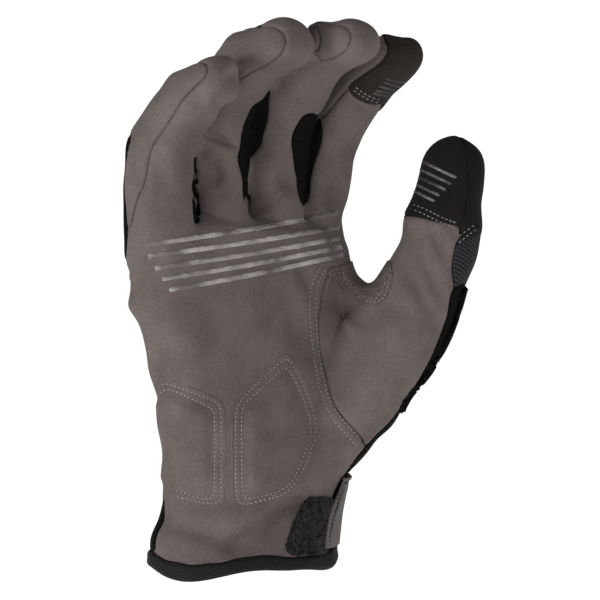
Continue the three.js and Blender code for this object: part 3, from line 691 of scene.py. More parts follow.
# Print that the palm has worn through in places
def fillPrint(tree, given, place):
    worn = noise(tree, place, 60, 3, 0.55)
    worn = stretched(tree, worn, given["Worn"], 0.62)
    grain = noise(tree, place, 1500, 3)
    rough = sumUp(tree, "SUBTRACT", 0.75, sumUp(tree, "MULTIPLY", worn, 0.35))
    height = sumUp(tree, "ADD", sumUp(tree, "MULTIPLY", worn, 0.5), sumUp(tree, "MULTIPLY", grain, 0.4))
    color = blended(tree, worn, given["Under"], given["Print"])
    return {"Color": color, "Roughness": rough, "Height": height}


# Rubber with a fine even grain and dust in it
def fillRubber(tree, given, place):
    grain = noise(tree, place, 1400, 3)
    dust = stretched(tree, noise(tree, place, 90, 4, 0.6), 0.35, 0.7)
    return {"Color": blended(tree, dust, given["Dark"], given["Light"]),
            "Roughness": sumUp(tree, "ADD", 0.5, sumUp(tree, "MULTIPLY", dust, 0.2)), "Height": grain}


# Tangled loops, darker where the relief is low: painted shade between the loops, partly random tone
def fillPile(tree, given, place):
    cells = addNode(tree, "TexVoronoi", {"Vector": place, "Scale": 750, "Randomness": 1}).outputs["Distance"]
    tangle = noise(tree, place, 1300, 3, 0.7)
    height = sumUp(tree, "ADD", sumUp(tree, "MULTIPLY", cells, 0.6), sumUp(tree, "MULTIPLY", tangle, 0.6))
    return {"Color": blended(tree, stretched(tree, height, 0.35, 0.8), given["GapShade"], given["Yarn"]),
            "Height": height}


# The dark gap colours of the net, knit, tape and pile below are painted shade
groups = {
    "nap": makeGroup("brushedNap", {"Dark": (0.1, 0.09, 0.08, 1), "Light": (0.2, 0.18, 0.16, 1),
                                    "Gloss": 0.15, "Roughness": 0.82}, fillNap),
    "net": makeGroup("knittedNet", {"GapShade": (0.0008, 0.0008, 0.0008, 1), "Yarn": (0.0055, 0.0053, 0.0055, 1),
                                    "Scale": 1150.0}, fillNet),
    "knit": makeGroup("ribbedKnit", {"GapShade": (0.006, 0.006, 0.007, 1), "Yarn": (0.034, 0.034, 0.037, 1),
                                     "Ribs": 4600.0, "Loops": 5600.0}, fillKnit),
    "tape": makeGroup("wovenTape", {"GapShade": (0.0015, 0.0015, 0.0016, 1), "Yarn": (0.021, 0.0195, 0.02, 1),
                                     "Ribs": 150.0, "Rows": 3600.0}, fillTape),
    "print": makeGroup("wornPrint", {"Under": (0.11, 0.098, 0.094, 1), "Print": (0.34, 0.32, 0.315, 1),
                                     "Worn": 0.38}, fillPrint),
    "rubber": makeGroup("dustyRubber", {"Dark": (0.08, 0.08, 0.084, 1), "Light": (0.13, 0.13, 0.135, 1)},
                        fillRubber),
    "pile": makeGroup("loopPile", {"GapShade": (0.003, 0.003, 0.003, 1), "Yarn": (0.03, 0.03, 0.032, 1)},
                      fillPile),
}

# Finishes: the group each uses with its values, the shader's own values, and the relief
finishes = {
    "suede": {
        "group": "nap", "given": {"Dark": (0.074, 0.0595, 0.056, 1), "Light": (0.15, 0.124, 0.117, 1)},
        "shader": {"Sheen Weight": 0.06, "Sheen Roughness": 0.5, "Specular IOR Level": 0.1},
        "relief": 0.00022},
    "brownSuede": {
        "group": "nap", "given": {"Dark": (0.011, 0.0085, 0.0076, 1), "Light": (0.03, 0.0235, 0.021, 1)},
        "shader": {"Sheen Weight": 0.02, "Sheen Roughness": 0.5, "Specular IOR Level": 0.12},
        "relief": 0.00022},
    "darkSuede": {
        "group": "nap",
        "given": {"Dark": (0.0045, 0.0036, 0.0033, 1), "Light": (0.012, 0.0098, 0.009, 1)},
        "shader": {"Sheen Weight": 0.02, "Sheen Roughness": 0.5, "Specular IOR Level": 0.12},
        "relief": 0.00022},
    "patchSuede": {
        "group": "nap", "given": {"Dark": (0.07, 0.0565, 0.053, 1), "Light": (0.13, 0.108, 0.101, 1)},
        "shader": {"Sheen Weight": 0.05, "Sheen Roughness": 0.5, "Specular IOR Level": 0.1},
        "relief": 0.00022},
    "mesh": {
        "group": "net", "given": {}, "shader": {"Roughness": 0.8, "Specular IOR Level": 0.04},
        "relief": 0.0005},
    "knit": {
        "group": "knit", "given": {}, "shader": {"Roughness": 0.8, "Specular IOR Level": 0.12},
        "relief": 0.0005},
    "binding": {
        "group": "tape", "given": {}, "shader": {"Roughness": 0.7, "Specular IOR Level": 0.12},
        "relief": 0.0005},
    "silicone": {"group": "print", "given": {}, "shader": {"Specular IOR Level": 0.5}, "relief": 0.0002},
    "darkSilicone": {
        "group": "print",
        "given": {"Under": (0.02, 0.018, 0.017, 1), "Print": (0.15, 0.143, 0.14, 1), "Worn": 0.42},
        "shader": {"Specular IOR Level": 0.5}, "relief": 0.0002},
    "faintSilicone": {
        "group": "print",
        "given": {"Under": (0.02, 0.018, 0.017, 1), "Print": (0.06, 0.056, 0.054, 1), "Worn": 0.42},
        "shader": {"Specular IOR Level": 0.4}, "relief": 0.0002},
    "moulded": {
        "group": "rubber", "given": {"Dark": (0.2, 0.2, 0.205, 1), "Light": (0.28, 0.28, 0.285, 1)},
        "shader": {"Specular IOR Level": 0.4}, "relief": 0.00015},
    "tabRubber": {
        "group": "rubber", "given": {"Dark": (0.06, 0.061, 0.061, 1), "Light": (0.1, 0.101, 0.1, 1)},
        "shader": {"Specular IOR Level": 0.4}, "relief": 0.0002},
    "pile": {
        "group": "pile", "given": {},
        "shader": {"Roughness": 0.9, "Sheen Weight": 0.03, "Specular IOR Level": 0.1}, "relief": 0.0012},
    "thread": {
        "group": "rubber", "given": {"Dark": (0.22, 0.225, 0.23, 1), "Light": (0.34, 0.345, 0.35, 1)},
        "shader": {"Sheen Weight": 0.2}, "relief": 0.0001},
    # The needle holes' near-black colour is painted shade
    "hole": {
        "group": "rubber", "given": {"Dark": (0.012, 0.01, 0.009, 1), "Light": (0.02, 0.018, 0.017, 1)},
        "shader": {"Specular IOR Level": 0.1}, "relief": 0.0001}}


def makeMaterial(name, finish):
    material = bpy.data.materials.new(name)
    material.use_nodes = True
    tree = material.node_tree
    shader = tree.nodes["Principled BSDF"]
    for key, value in finish["shader"].items():
        shader.inputs[key].default_value = value
    effect = addNode(tree, "Group", finish["given"], node_tree=groups[finish["group"]]).outputs
    tree.links.new(effect["Color"], shader.inputs["Base Color"])
    if "Roughness" in effect:
        tree.links.new(effect["Roughness"], shader.inputs["Roughness"])
    bump = addNode(tree, "Bump", {"Strength": 0.8, "Distance": finish["relief"], "Height": effect["Height"]})
    tree.links.new(bump.outputs["Normal"], shader.inputs["Normal"])
    return material


materials = {name: makeMaterial(name, finish) for name, finish in finishes.items()}
print("finishes made:", len(materials))


# The glove's cut pieces, each where its part of the frame lies
panels = {
    "palm_panel": {
        "piece": "palmPanel", "material": "suede", "lift": 0, "groove": 0.0009, "width": 0.0017},
    "thumb_panel": {
        "piece": "thumbPanel", "material": "suede", "lift": 0, "groove": 0.0009, "width": 0.0017},
    "pinky_side_panel": {
        "piece": "pinkySide", "material": "suede", "lift": 0, "groove": 0.0009, "width": 0.0018},
    "ring_tip_panel": {
        "piece": "ringTip", "material": "suede", "lift": 0, "groove": 0.0009, "width": 0.0018},
    "middle_tip_panel": {
        "piece": "middleTip", "material": "suede", "lift": 0, "groove": 0.0009, "width": 0.0018},
    "index_tip_panel": {
        "piece": "indexTip", "material": "suede", "lift": 0, "groove": 0.0009, "width": 0.0018},
    "index_cap": {
        "piece": "indexCap", "material": "brownSuede", "lift": 0.0005, "groove": 0.0002, "width": 0.001},
    "thumb_cap_front": {
        "piece": "thumbCapFront", "material": "darkSuede", "lift": 0.0005, "groove": 0.0005,
        "width": 0.0014},
    "thumb_cap_back": {
        "piece": "thumbCapBack", "material": "darkSuede", "lift": 0.0004, "groove": 0.0005,
        "width": 0.0014},
    "thumb_back": {
        "piece": "thumbKnit", "material": "knit", "lift": 0, "groove": 0.0006, "width": 0.0015},
    "back_panel": {
        "piece": "meshBack", "material": "mesh", "lift": -0.0002, "groove": 0.0008, "width": 0.0016},
    "cuff_binding": {
        "piece": "cuffBinding", "material": "binding", "lift": 0.0011, "groove": 0.0011, "width": 0.0016}}
# A panel's faces lie within reach of its part of the frame. Each round evens the seams by a share of the way,
# and within the hem's band they are left unpressed.
fabric = {"thickness": 0.0011, "reach": 0.0057, "evening": 24, "share": 0.6, "hemBand": 0.0075}


def hemHeight(points):
    wide, deep = palmRows[0][3] * hand["palmBreadth"] / 2, palmRows[0][4] * hand["palmThickness"]
    angle = np.arctan2(points[:, 0] / wide, -points[:, 1] / deep)
    rise = hand["hemRise"] * (0.5 - 0.5 * np.cos(4 * (angle + math.radians(hand["hemAngle"]))))
    return points[:, 2] - rise


# Rows of stitching, in pixels of the photograph
stitchRows = {
    "outerPadOuter": [
        (154, 391), (160, 386), (166, 382.4), (180, 388), (200, 395.5), (217, 402), (221, 408),
        (221.1, 440), (221.1, 470), (221.1, 497), (218.5, 503), (211, 504.3), (195, 501), (176, 496.4)],
    "outerPadInner": [
        (156.4, 397), (161, 391.5), (166, 389.3), (171, 389.3), (190, 398), (211, 407.5), (214.6, 412.5),
        (214.6, 450), (214.6, 492), (212, 498.5), (206, 499.3), (190, 495), (175, 490)],
    "centrePadOuter": [
        (235.4, 480), (235.4, 440), (235.4, 414), (238.6, 401.4), (260, 381), (284, 358.8),
        (287.5, 358.8), (293, 365), (301.4, 380.7), (310, 402), (316.4, 425), (315, 438), (310, 452),
        (306.4, 465), (293, 485.7), (283, 495), (258.6, 502), (245.7, 504.7), (238.6, 503), (236.2, 497),
        (235.4, 480)],
    "centrePadInner": [
        (241.6, 480), (241.4, 440), (241.4, 410), (245, 403), (265, 385), (283.6, 367.8), (286.8, 367.8),
        (291.4, 373.6), (301.4, 393.6), (309.3, 416.4), (311.4, 426.4), (310, 438), (301.4, 462),
        (294.3, 478), (288.6, 485.7), (278.6, 492), (261.4, 496.4), (246, 499.3), (242.4, 496.4),
        (241.6, 480)],
    "ballOuter": [
        (331, 258.7), (326, 259.5), (315, 275), (310, 290), (309.5, 310), (311, 335), (313.7, 355),
        (317, 377.5), (322, 397.5), (331, 417.5), (342.5, 431), (353.7, 442.5), (358.7, 446)],
    "ballInner": [
        (332.5, 262.5), (325, 270), (317.5, 282.5), (315.5, 295), (315.5, 315), (317.5, 340),
        (320.5, 365), (325, 385), (331, 405), (342.5, 420), (355, 433.7), (365, 443.7)],
    "crotchOuter": [
        (335, 268), (346, 280), (354, 293), (362, 300), (373, 303), (383, 300), (387, 290), (390.5, 276)],
    "crotchInner": [
        (342, 272), (352, 285), (358, 293), (366, 297.5), (376, 299.5), (381, 294), (384.5, 286),
        (387, 277)],
    "thumbCapUpper": [(408, 203), (425, 208.5), (440, 217), (456.5, 223)],
    "thumbCapLower": [(405, 206.5), (420, 212), (438, 221), (455.5, 228.5)],
    "thumbBackUpper": [(458, 236.5), (466, 231), (475, 224.5)],
    "thumbBackLower": [(458.5, 243), (467, 236), (476.5, 229)],
    "indexCapUpper": [(351, 84), (362, 92), (371, 97.5), (381, 100)],
    "indexCapLower": [(349, 87), (360, 95), (370, 100.5), (379, 103)],
    "tabEdge": [(341.5, 491), (336, 505), (331.5, 520), (328.5, 534), (327.8, 545)],
    "centrePadDoubled": [(249, 504), (258, 500.5), (267, 499), (276, 494.5)]}
stitch = {
    "pitch": 0.00168, "length": 0.00118, "radius": 0.00017, "above": 0.00006, "hole": 0.0002,
    "dip": 0.00038, "dipWidth": 0.0008}
smoothRows = {name: rounded(row, False, 2) for name, row in stitchRows.items()}


# Presses the near side in along the stitching
def pressStitches(bm):
    bm.normal_update()
    points = coordinates(bm)
    normals = np.array([vert.normal for vert in bm.verts])
    pixels = pixelsOf(points)
    facing = smoothSteps(normals @ np.array(toCamera) / 0.3)
    move = np.zeros(len(points))
    for row in smoothRows.values():
        away, _ = distanceTo(pixels, row)
        move = np.minimum(move, -stitch["dip"] * np.exp(-(away * pixelSize / stitch["dipWidth"]) ** 2))
    for vert, normal, amount in zip(bm.verts, normals, move * facing):
        vert.co += Vector(normal) * amount


def objectOf(name, bm, material):
    mesh = bpy.data.meshes.new(name)
    bm.to_mesh(mesh)
    bm.free()
    mesh.materials.append(materials[material])
    mesh.polygons.foreach_set("use_smooth", [True] * len(mesh.polygons))
    piece = bpy.data.objects.new(name, mesh)
    bpy.context.scene.collection.objects.link(piece)
    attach(piece, "root")
    return piece


def thicken(piece, thickness):
    wall = piece.modifiers.new("wall", "SOLIDIFY")
    wall.thickness = thickness
    wall.offset = -1


# Distance of each vertex to the open edge of its piece
def edgeDistance(bm, points):
    border = [vert for vert in bm.verts if vert.is_boundary]
    tree = KDTree(len(border))
    for place, vert in enumerate(border):
        tree.insert(vert.co, place)
    tree.balance()
    return np.array([tree.find(point)[2] for point in points])


# Averages values over neighbouring vertices, so that the lines between them run smoothly
def evened(bm, rows, rounds):
    ends = np.array([(edge.verts[0].index, edge.verts[1].index) for edge in bm.edges])
    starts, finishes, size = ends[:, 0], ends[:, 1], len(rows)
    count = np.bincount(ends.ravel(), minlength=size)[:, None]

    def around(column):
        return np.bincount(starts, column[finishes], size) + np.bincount(finishes, column[starts], size)

    for _ in range(rounds):
        total = np.stack([around(column) for column in rows.T], axis=1)
        rows = rows * (1 - fabric["share"]) + total / count * fabric["share"]
    return rows


# Where the photograph shows the edges of the finger pieces, in its pixels
nearEdges = {
    "pinky_side_panel": [
        [
            (160, 66), (176, 71.5), (190, 64), (200, 61.4), (206, 63), (209, 68), (207, 73), (194, 86),
            (180, 102), (172, 117), (166, 128), (152, 144), (148, 160), (147, 175), (142, 189),
            (135.5, 198.3), (132.5, 211.7), (131.3, 232), (110, 232), (110, 190), (125, 190), (126, 170),
            (129, 147), (134.5, 142), (133, 129), (120, 100)]],
    "ring_tip_panel": [
        [
            (214, 44), (222, 42), (232, 36), (248, 29), (268, 26), (280, 29), (287, 38), (285, 49),
            (276, 59), (262, 67), (248, 71.5), (240, 80), (225, 80), (214, 60)]],
    "middle_tip_panel": [
        [
            (300, 22), (317, 26), (330, 24.5), (344, 25.2), (351, 30), (352.5, 40), (346, 50), (334, 58),
            (320, 61.5), (304, 64), (294, 70), (290, 80), (286, 87), (276, 96.5), (268, 103), (261, 99),
            (250, 90), (270, 60)]],
    "index_tip_panel": [
        [
            (384, 40), (388, 43), (389.5, 50), (388, 55), (380, 65), (360, 77), (346, 89), (336, 101),
            (325, 116), (320, 118.5), (309, 111), (298, 100), (330, 60)]],
    "index_cap": [
        [
            (384, 34), (400, 30), (414, 34), (426, 43), (432, 55), (428, 70), (418, 82), (408, 87),
            (399, 93), (390, 99), (381, 105), (374, 104.7), (362, 101.5), (352, 95), (346, 88.5),
            (354, 82), (362, 76.5), (380, 65), (388.5, 55), (390, 48), (386, 42)]],
    "palm_panel": [
        [
            (334, 264), (326, 272), (321.5, 284), (320, 300), (320.5, 320), (322, 345), (325.5, 370),
            (330, 392), (338, 409), (350, 423), (369, 442), (360, 455), (330, 425), (305, 380),
            (300, 330), (302, 280), (318, 256)],
        [(381, 105.5), (374, 105), (372, 112), (378, 125), (392, 118), (402, 100), (391, 99.5)]],
    "thumb_panel": [
        [
            (334, 264), (326, 272), (321.5, 284), (320, 300), (320.5, 320), (322, 345), (325.5, 370),
            (330, 392), (338, 409), (350, 423), (369, 442), (385, 430), (400, 380), (380, 330),
            (360, 310), (350, 295), (345, 281)]],
    "thumb_back": [[(456, 236), (468, 233), (490, 222), (490, 281), (450, 281), (452, 262)]],
    "back_panel": [
        [
            (450, 281), (447.5, 310), (437.5, 340), (420, 377.5), (392.5, 417.5), (360, 450), (349, 466),
            (338, 483), (329, 498), (324, 545), (360, 545), (430, 450), (490, 340), (490, 281)],
        [
            (100, 100), (120, 100), (132, 129), (133.5, 142), (128.5, 147), (126, 170), (125.5, 192),
            (128, 215), (129.5, 235), (127.5, 255), (128, 280), (131, 312), (120, 325), (100, 325)],
        [
            (200, 150), (203, 150), (200, 165), (198, 185), (199.5, 205), (201, 218), (199, 224),
            (194, 224), (193.5, 205), (194.5, 188), (196.5, 168)],
        [
            (253, 105), (261, 99), (268, 103), (267, 116), (262, 135), (252, 157), (248.5, 177),
            (247.5, 198), (245.5, 207), (243, 200), (244, 188), (242, 170), (237, 158), (242, 144),
            (243, 130), (250, 116)],
        [
            (309, 111), (320, 118.5), (321.5, 130), (320, 146), (313, 161), (309, 177), (308, 192),
            (308.5, 203), (304.5, 207.5), (300.5, 200), (298, 188), (296.5, 170), (294, 154), (291, 138),
            (299, 124)]]}


# Edges that hold for whatever shows there, where two fingers touch
shownEdges = {
    "middle_tip_panel": [
        (312, 20), (330, 24.5), (344, 25.2), (351, 30), (352.5, 40), (346, 50), (334, 58), (320, 61.5),
        (303, 64), (307, 56), (312, 46), (312.5, 34)]}
# Between the fingers the mesh shows only inside its outlines: from x, from y, to x, to y in pixels
meshZone = (185, 100, 335, 240)
# What faces the camera more than this is on the near side, and outlines matter this many pixels round them
nearSide = {"facing": -0.1, "reach": 30, "outside": -1.0}


# Lets the photograph's edges stand in for the frame's on the side that faces it
def edgesFromPhoto(rows, names):
    pixels = pixelsOf(folded["points"])
    near = folded["facing"] > nearSide["facing"]
    zone = near & np.all((pixels > meshZone[:2]) & (pixels < meshZone[2:]), axis=1)
    first = rows.argmin(axis=1)
    fingertips = [names.index(name) for name in nearEdges if name.split("_")[0] in fingers]
    palm = names.index("palm_panel")
    rows[near & np.isin(first, fingertips), palm] = 0
    rows[zone & (first == names.index("back_panel")), palm] = 0
    for name, outlines in nearEdges.items():
        place = names.index(name)
        inside = np.full(len(pixels), nearSide["outside"])
        for outline in outlines:
            low = np.min(outline, axis=0) - nearSide["reach"]
            high = np.max(outline, axis=0) + nearSide["reach"]
            close = np.nonzero(near & np.all((pixels > low) & (pixels < high), axis=1))[0]
            depth = insideOf(pixels[close], rounded(outline, True, 2)) * pixelSize
            inside[close] = np.maximum(inside[close], depth)
        owner = name.split("_")[0]
        if owner in fingers:
            inside[folded["finger"] != owner] = nearSide["outside"]
        if name in shownEdges:
            shown = insideOf(pixels, rounded(shownEdges[name], True, 2)) * pixelSize
            inside = np.where(shown > 0, shown, inside)
        if owner in fingers:
            rows[near, place] = np.maximum(-inside[near], 0)
        if name == "back_panel":
            rows[zone, place] = np.maximum(-inside[zone], 0)
        within = near & (inside > 0)
        rows[within] = np.maximum(rows[within], inside[within, None])
        rows[within, place] = 0
    return rows


def cutPanels():
    names = list(panels)
    rows = edgesFromPhoto(np.stack([distanceToNode(flatPoints, name) for name in names], axis=1), names)
    rows = np.column_stack([evened(skin, rows, fabric["evening"]), hemHeight(flatPoints)])
    print("panels found on the skin")
    for place in range(len(names)):
        def apart(rows, place=place):
            return np.delete(rows[:, :-1], place, axis=1).min(axis=1) - rows[:, place]
        rows = cutAlong(skin, rows, apart)
    rows = cutAlong(skin, rows, lambda rows: rows[:, -1])
    means = [rows[[vert.index for vert in face.verts]].mean(axis=0) for face in skin.faces]
    labels = [int(np.argmin(mean[:-1])) if mean[-1] > 0 and mean[:-1].min() < fabric["reach"] else -1
              for mean in means]
    for place, name in enumerate(names):
        values = panels[name]
        part = partOf(skin, [label == place for label in labels])
        pressStitches(part)
        part.normal_update()
        points = coordinates(part)
        away = edgeDistance(part, points)
        if name != "cuff_binding":
            away = np.where(hemHeight(points) < fabric["hemBand"], np.maximum(away, values["width"]), away)
        drop = values["groove"] * np.clip(1 - away / values["width"], 0, 1) ** 2
        normals = [vert.normal.copy() for vert in part.verts]
        for vert, normal, amount in zip(part.verts, normals, values["lift"] - drop):
            vert.co += normal * amount
        piece = objectOf(values["piece"], part, values["material"])
        thicken(piece, fabric["thickness"])
        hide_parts(name)


# Layers that lie on the panels. Outlines are in pixels of the photograph, or in shares of the palm's breadth
# and height across the photograph's plane. near is the outline that shows in the photograph, in its pixels,
# and span is how far from its part of the frame a layer goes elsewhere.
layers = {
    "heel_pad_outer": {
        "piece": "heelPadOuter", "material": "suede", "plane": "pixels", "lift": 0.0011, "edge": 0.004,
        "wall": 0.0008,
        "outline": [
            (120, 400), (154, 386), (165.5, 377.5), (183, 384), (219, 398), (226, 407), (226, 500),
            (221, 508), (211, 509), (175, 500.5), (120, 490)],
        "puff": [
            (120, 404), (150, 400), (160, 395.5), (167, 391.5), (171, 391.5), (190, 400), (210, 409),
            (212.6, 413), (212.6, 450), (212.6, 490), (210, 497), (205, 497.3), (190, 493), (175, 488),
            (120, 478)]},
    "heel_pad_centre": {
        "piece": "heelPadCentre", "material": "suede", "plane": "pixels", "lift": 0.0011, "edge": 0.004,
        "wall": 0.0008,
        "outline": [
            (230.5, 412), (234.5, 399), (283, 353.5), (288.5, 353.5), (296.5, 361.5), (306, 378),
            (315, 400), (321.5, 425), (320, 439), (311, 467), (297, 490), (286, 500), (260, 507.5),
            (245, 510), (234.5, 508), (230.5, 500)],
        "puff": [
            (243.5, 412), (247, 404.5), (284, 370.5), (286.5, 370.5), (289.6, 375), (299.4, 394.6),
            (307, 417), (309, 426.4), (308, 437), (299.4, 461), (292, 477), (286.6, 484), (277.6, 490),
            (261, 494.4), (247, 497), (244, 494)]},
    "crotch_patch": {
        "span": 0.0022, "piece": "crotchPatch", "material": "patchSuede", "plane": "hand", "lift": 0.0006,
        "edge": 0.0003, "wall": 0.0006,
        "outline": [
            (0.304, 0.878), (0.339, 0.839), (0.446, 0.783), (0.55, 0.778), (0.587, 0.867), (0.535, 0.944),
            (0.46, 0.922), (0.389, 0.883)]},
    "loop_patch": {
        "span": 0.003,
        "near": [
            (307, 498), (332, 496), (334, 505), (329, 520), (327, 535), (326.5, 548), (326, 555),
            (315, 555.5), (300, 556), (288, 556), (287, 550), (286, 540), (293.5, 522), (300, 509)],
        "piece": "loopPatch", "material": "pile", "plane": "hand", "lift": 0.0011, "edge": 0.0006,
        "wall": 0.0009,
        "outline": [
            (0.171, 0.033), (0.307, 0.033), (0.31, 0.156), (0.34, 0.22), (0.247, 0.218), (0.22, 0.179),
            (0.162, 0.098)]},
    "thumb_edge_patch": {
        "span": 0.0018, "piece": "thumbEdgePatch", "material": "mesh", "plane": "hand", "lift": 0.0014,
        "edge": 0.001, "wall": 0.0012,
        "outline": [(0.899, 0.856), (0.668, 0.844), (0.535, 0.5), (0.639, 0.444), (0.787, 0.611)]}}
# How far a layer looks for its part of the frame, the margin cut with it, and the rounds that even its edge
layerCut = {"reach": 0.0045, "margin": 0.002, "evening": 10, "facing": 0.02, "shown": -0.05}
# A pad's stitched rim: its width, how high it stands and how far it sinks at the edge
padRim = {"width": 0.0005, "rise": 0.0001, "sink": 0.00004}
# Layers wrapped on round the hand. rows start at pixels of the photograph, and angles at a height and an
# angle round the hand, and both say how many degrees further the layer goes.
wraps = {
    "wrist_tab": {
        "piece": "wristTab", "material": "suede", "lift": 0.0019, "edge": 0.0006, "wall": 0.0012,
        "foot": 0.7,
        "rows": [
            (322, 549, 50), (323, 535, 54), (325.5, 520, 56), (330, 505, 52), (335.5, 491, 40),
            (339.5, 481, 28), (341, 476, 16)]},
    "wrist_tab_grip": {
        "piece": "wristTabGrip", "material": "tabRubber", "lift": 0.0029, "edge": 0.0007, "wall": 0.0008,
        "foot": 0.7,
        "rows": [
            (324.5, 546, 4.5), (325.5, 532, 5), (328.5, 517, 5.5), (333, 502, 5.5), (337.5, 490, 5),
            (340, 481, 4)]},
    "knuckle_guard": {
        "piece": "knuckleGuard", "material": "moulded", "lift": 0.0034, "edge": 0.003, "wall": 0.0028,
        "foot": 0.2, "grooves": (-0.23, 0.0, 0.25),
        "angles": [
            (0.1067, 12, 153), (0.1134, 10, 163), (0.1195, 8.5, 163.5), (0.1255, 8, 162),
            (0.131, 24, 130)]}}
wrapNet = {"across": 80, "along": 48, "smoothing": 3, "outside": 0.2, "groove": 0.0014}
printed = {"lift": 0.00035, "edge": 0.0004, "wall": 0.0005, "bend": 1.5, "bendOver": 190, "steps": 8,
           "margin": 12}
# Printed bars, from their left and right ends in pixels
bars = {
    "palm_grip_bar": {
        "material": "silicone", "base": 0.0001, "breadth": 4.6,
        "ends": [
            (145, 245, 338, 213), (148, 256, 340, 227), (155, 268, 340, 238), (162, 279, 342, 247),
            (169, 290, 343, 255)]},
    "thumb_grip_bar": {
        "material": "darkSilicone", "base": 0.0006, "breadth": 2.8,
        "ends": [
            (424.5, 162, 457.4, 178.6), (420.3, 169.4, 451.7, 184.3), (418, 176.3, 445.9, 190),
            (415.3, 183.6, 440.2, 195.8), (413, 190, 435.2, 201.6)]},
    "index_grip_bar": {
        "material": "faintSilicone", "base": 0.0006, "breadth": 2.0,
        "ends": [
            (385.9, 77.9, 407, 82), (383.4, 81.4, 400, 86), (378.9, 85.3, 394, 89),
            (374.8, 89.4, 390, 92), (371.9, 92.3, 387, 95)]}}


def flatPlaces(points, plane):
    if plane == "pixels":
        return pixelsOf(points)
    across = points @ np.array(rightward)
    return np.stack([across / hand["palmBreadth"], points[:, 2] / hand["palmHeight"]], axis=1)


# Distance inside an outline in metres, above nought within it
def insideBy(points, outline, plane):
    size = np.array([hand["palmBreadth"], hand["palmHeight"]])
    if plane == "pixels":
        size = np.full(2, pixelSize)
    return insideOf(flatPlaces(points, plane) * size, np.asarray(outline, float) * size)


def layPiece(node, values, sheet, sharp=False):
    outline = values["outline"] if sharp else rounded(values["outline"], True)
    inside = insideBy(sheet["points"], outline, values["plane"])
    if values["plane"] == "pixels":
        near = sheet["facing"] > values.get("turned", layerCut["facing"])
    else:
        away = distanceToNode(sheet["flat"], node, layerCut["reach"])
        near = away < layerCut["reach"]
        inside = np.minimum(inside, values["span"] - away)
        if "near" in values:
            shown = sheet["facing"] > layerCut["shown"]
            near |= shown
            inside[shown] = insideBy(sheet["points"][shown], rounded(values["near"], True, 2), "pixels")
    wanted = (near & (inside > -layerCut["margin"]))[sheet["corners"]].any(axis=1)
    part = partOf(sheet["bm"], wanted)
    rows = inside[np.unique(sheet["corners"][wanted])][:, None]
    if values["plane"] != "pixels":
        rows = evened(part, rows, layerCut["evening"])
    rows = cutAlong(part, rows, lambda rows: rows[:, 0])
    kept = {face for face in part.faces if np.mean([rows[vert.index, 0] for vert in face.verts]) > 0}
    bmesh.ops.delete(part, geom=[face for face in part.faces if face not in kept], context="FACES")
    depths = {vert: max(rows[vert.index, 0], 0) for vert in part.verts if vert.link_faces}
    bmesh.ops.delete(part, geom=[vert for vert in part.verts if not vert.link_faces], context="VERTS")
    if "puff" in values:
        pressStitches(part)
    part.normal_update()
    inside = np.array([depths[vert] for vert in part.verts])
    if "puff" in values:
        base = np.clip(inside / padRim["width"], 0, 1) * padRim["rise"] - padRim["sink"]
        inside = np.maximum(insideBy(coordinates(part), rounded(values["puff"], True), values["plane"]), 0)
    else:
        base = values.get("base", 0.0001)
    share = np.clip(inside / values["edge"], 0, 1)
    rise = values["lift"] * np.sqrt(1 - (1 - share) ** 2)
    if "puff" in values:
        rise = values["lift"] * smoothSteps(share)
    normals = [vert.normal.copy() for vert in part.verts]
    for vert, normal, amount in zip(part.verts, normals, rise + base):
        vert.co += normal * amount
    piece = objectOf(values["piece"], part, values["material"])
    thicken(piece, values["wall"])
    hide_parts(node)
    return piece


# Lays a layer round the hand as an even grid on the folded skin, and raises it from its edges
def wrapPiece(node, values, ground):
    found = list(values.get("angles", []))
    for x, y, wide in values.get("rows", []):
        place = ground.ray_cast(eye, rayThrough(x, y))[0]
        while place is None:
            x -= 1
            place = ground.ray_cast(eye, rayThrough(x, y))[0]
        found.append((place.z, math.degrees(math.atan2(place.y, place.x)), wide))
    rows = np.array(found)
    bm = bmesh.new()
    across, along = wrapNet["across"], wrapNet["along"]
    bmesh.ops.create_grid(bm, x_segments=across, y_segments=along, size=1)
    flat = coordinates(bm)
    flat = (flat - flat.min(axis=0)) / np.maximum(np.ptp(flat, axis=0), 1e-9)
    for vert, (right, up, _) in zip(bm.verts, flat):
        height, start, wide = rowAt(rows, up * (len(rows) - 1))
        angle = math.radians(start + wide * right)
        outward = Vector((math.cos(angle), math.sin(angle), 0))
        vert.co = ground.ray_cast(upward * height + outward * wrapNet["outside"], -outward)[0]
    for _ in range(wrapNet["smoothing"]):
        inner = [vert for vert in bm.verts if not vert.is_boundary]
        smoothOnce(bm, inner)
    bmesh.ops.recalc_face_normals(bm, faces=bm.faces)
    bm.normal_update()
    middle = bm.verts[:][len(bm.verts) // 2]
    if middle.normal.dot(Vector((middle.co.x, middle.co.y, 0))) < 0:
        bmesh.ops.reverse_faces(bm, faces=bm.faces)
        bm.normal_update()
    share = np.clip(edgeDistance(bm, coordinates(bm)) / values["edge"], 0, 1)
    rise = values["lift"] * (values["foot"] + (1 - values["foot"]) * np.sqrt(1 - (1 - share) ** 2))
    for groove in values.get("grooves", ()):
        away = -coordinates(bm)[:, 0] - groove * hand["palmBreadth"]
        rise = rise * (1 - 0.5 * np.exp(-(away / wrapNet["groove"]) ** 2))
    normals = [vert.normal.copy() for vert in bm.verts]
    for vert, normal, amount in zip(bm.verts, normals, rise):
        vert.co += normal * amount
    piece = objectOf(values["piece"], bm, values["material"])
    thicken(piece, values["wall"])
    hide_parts(node)


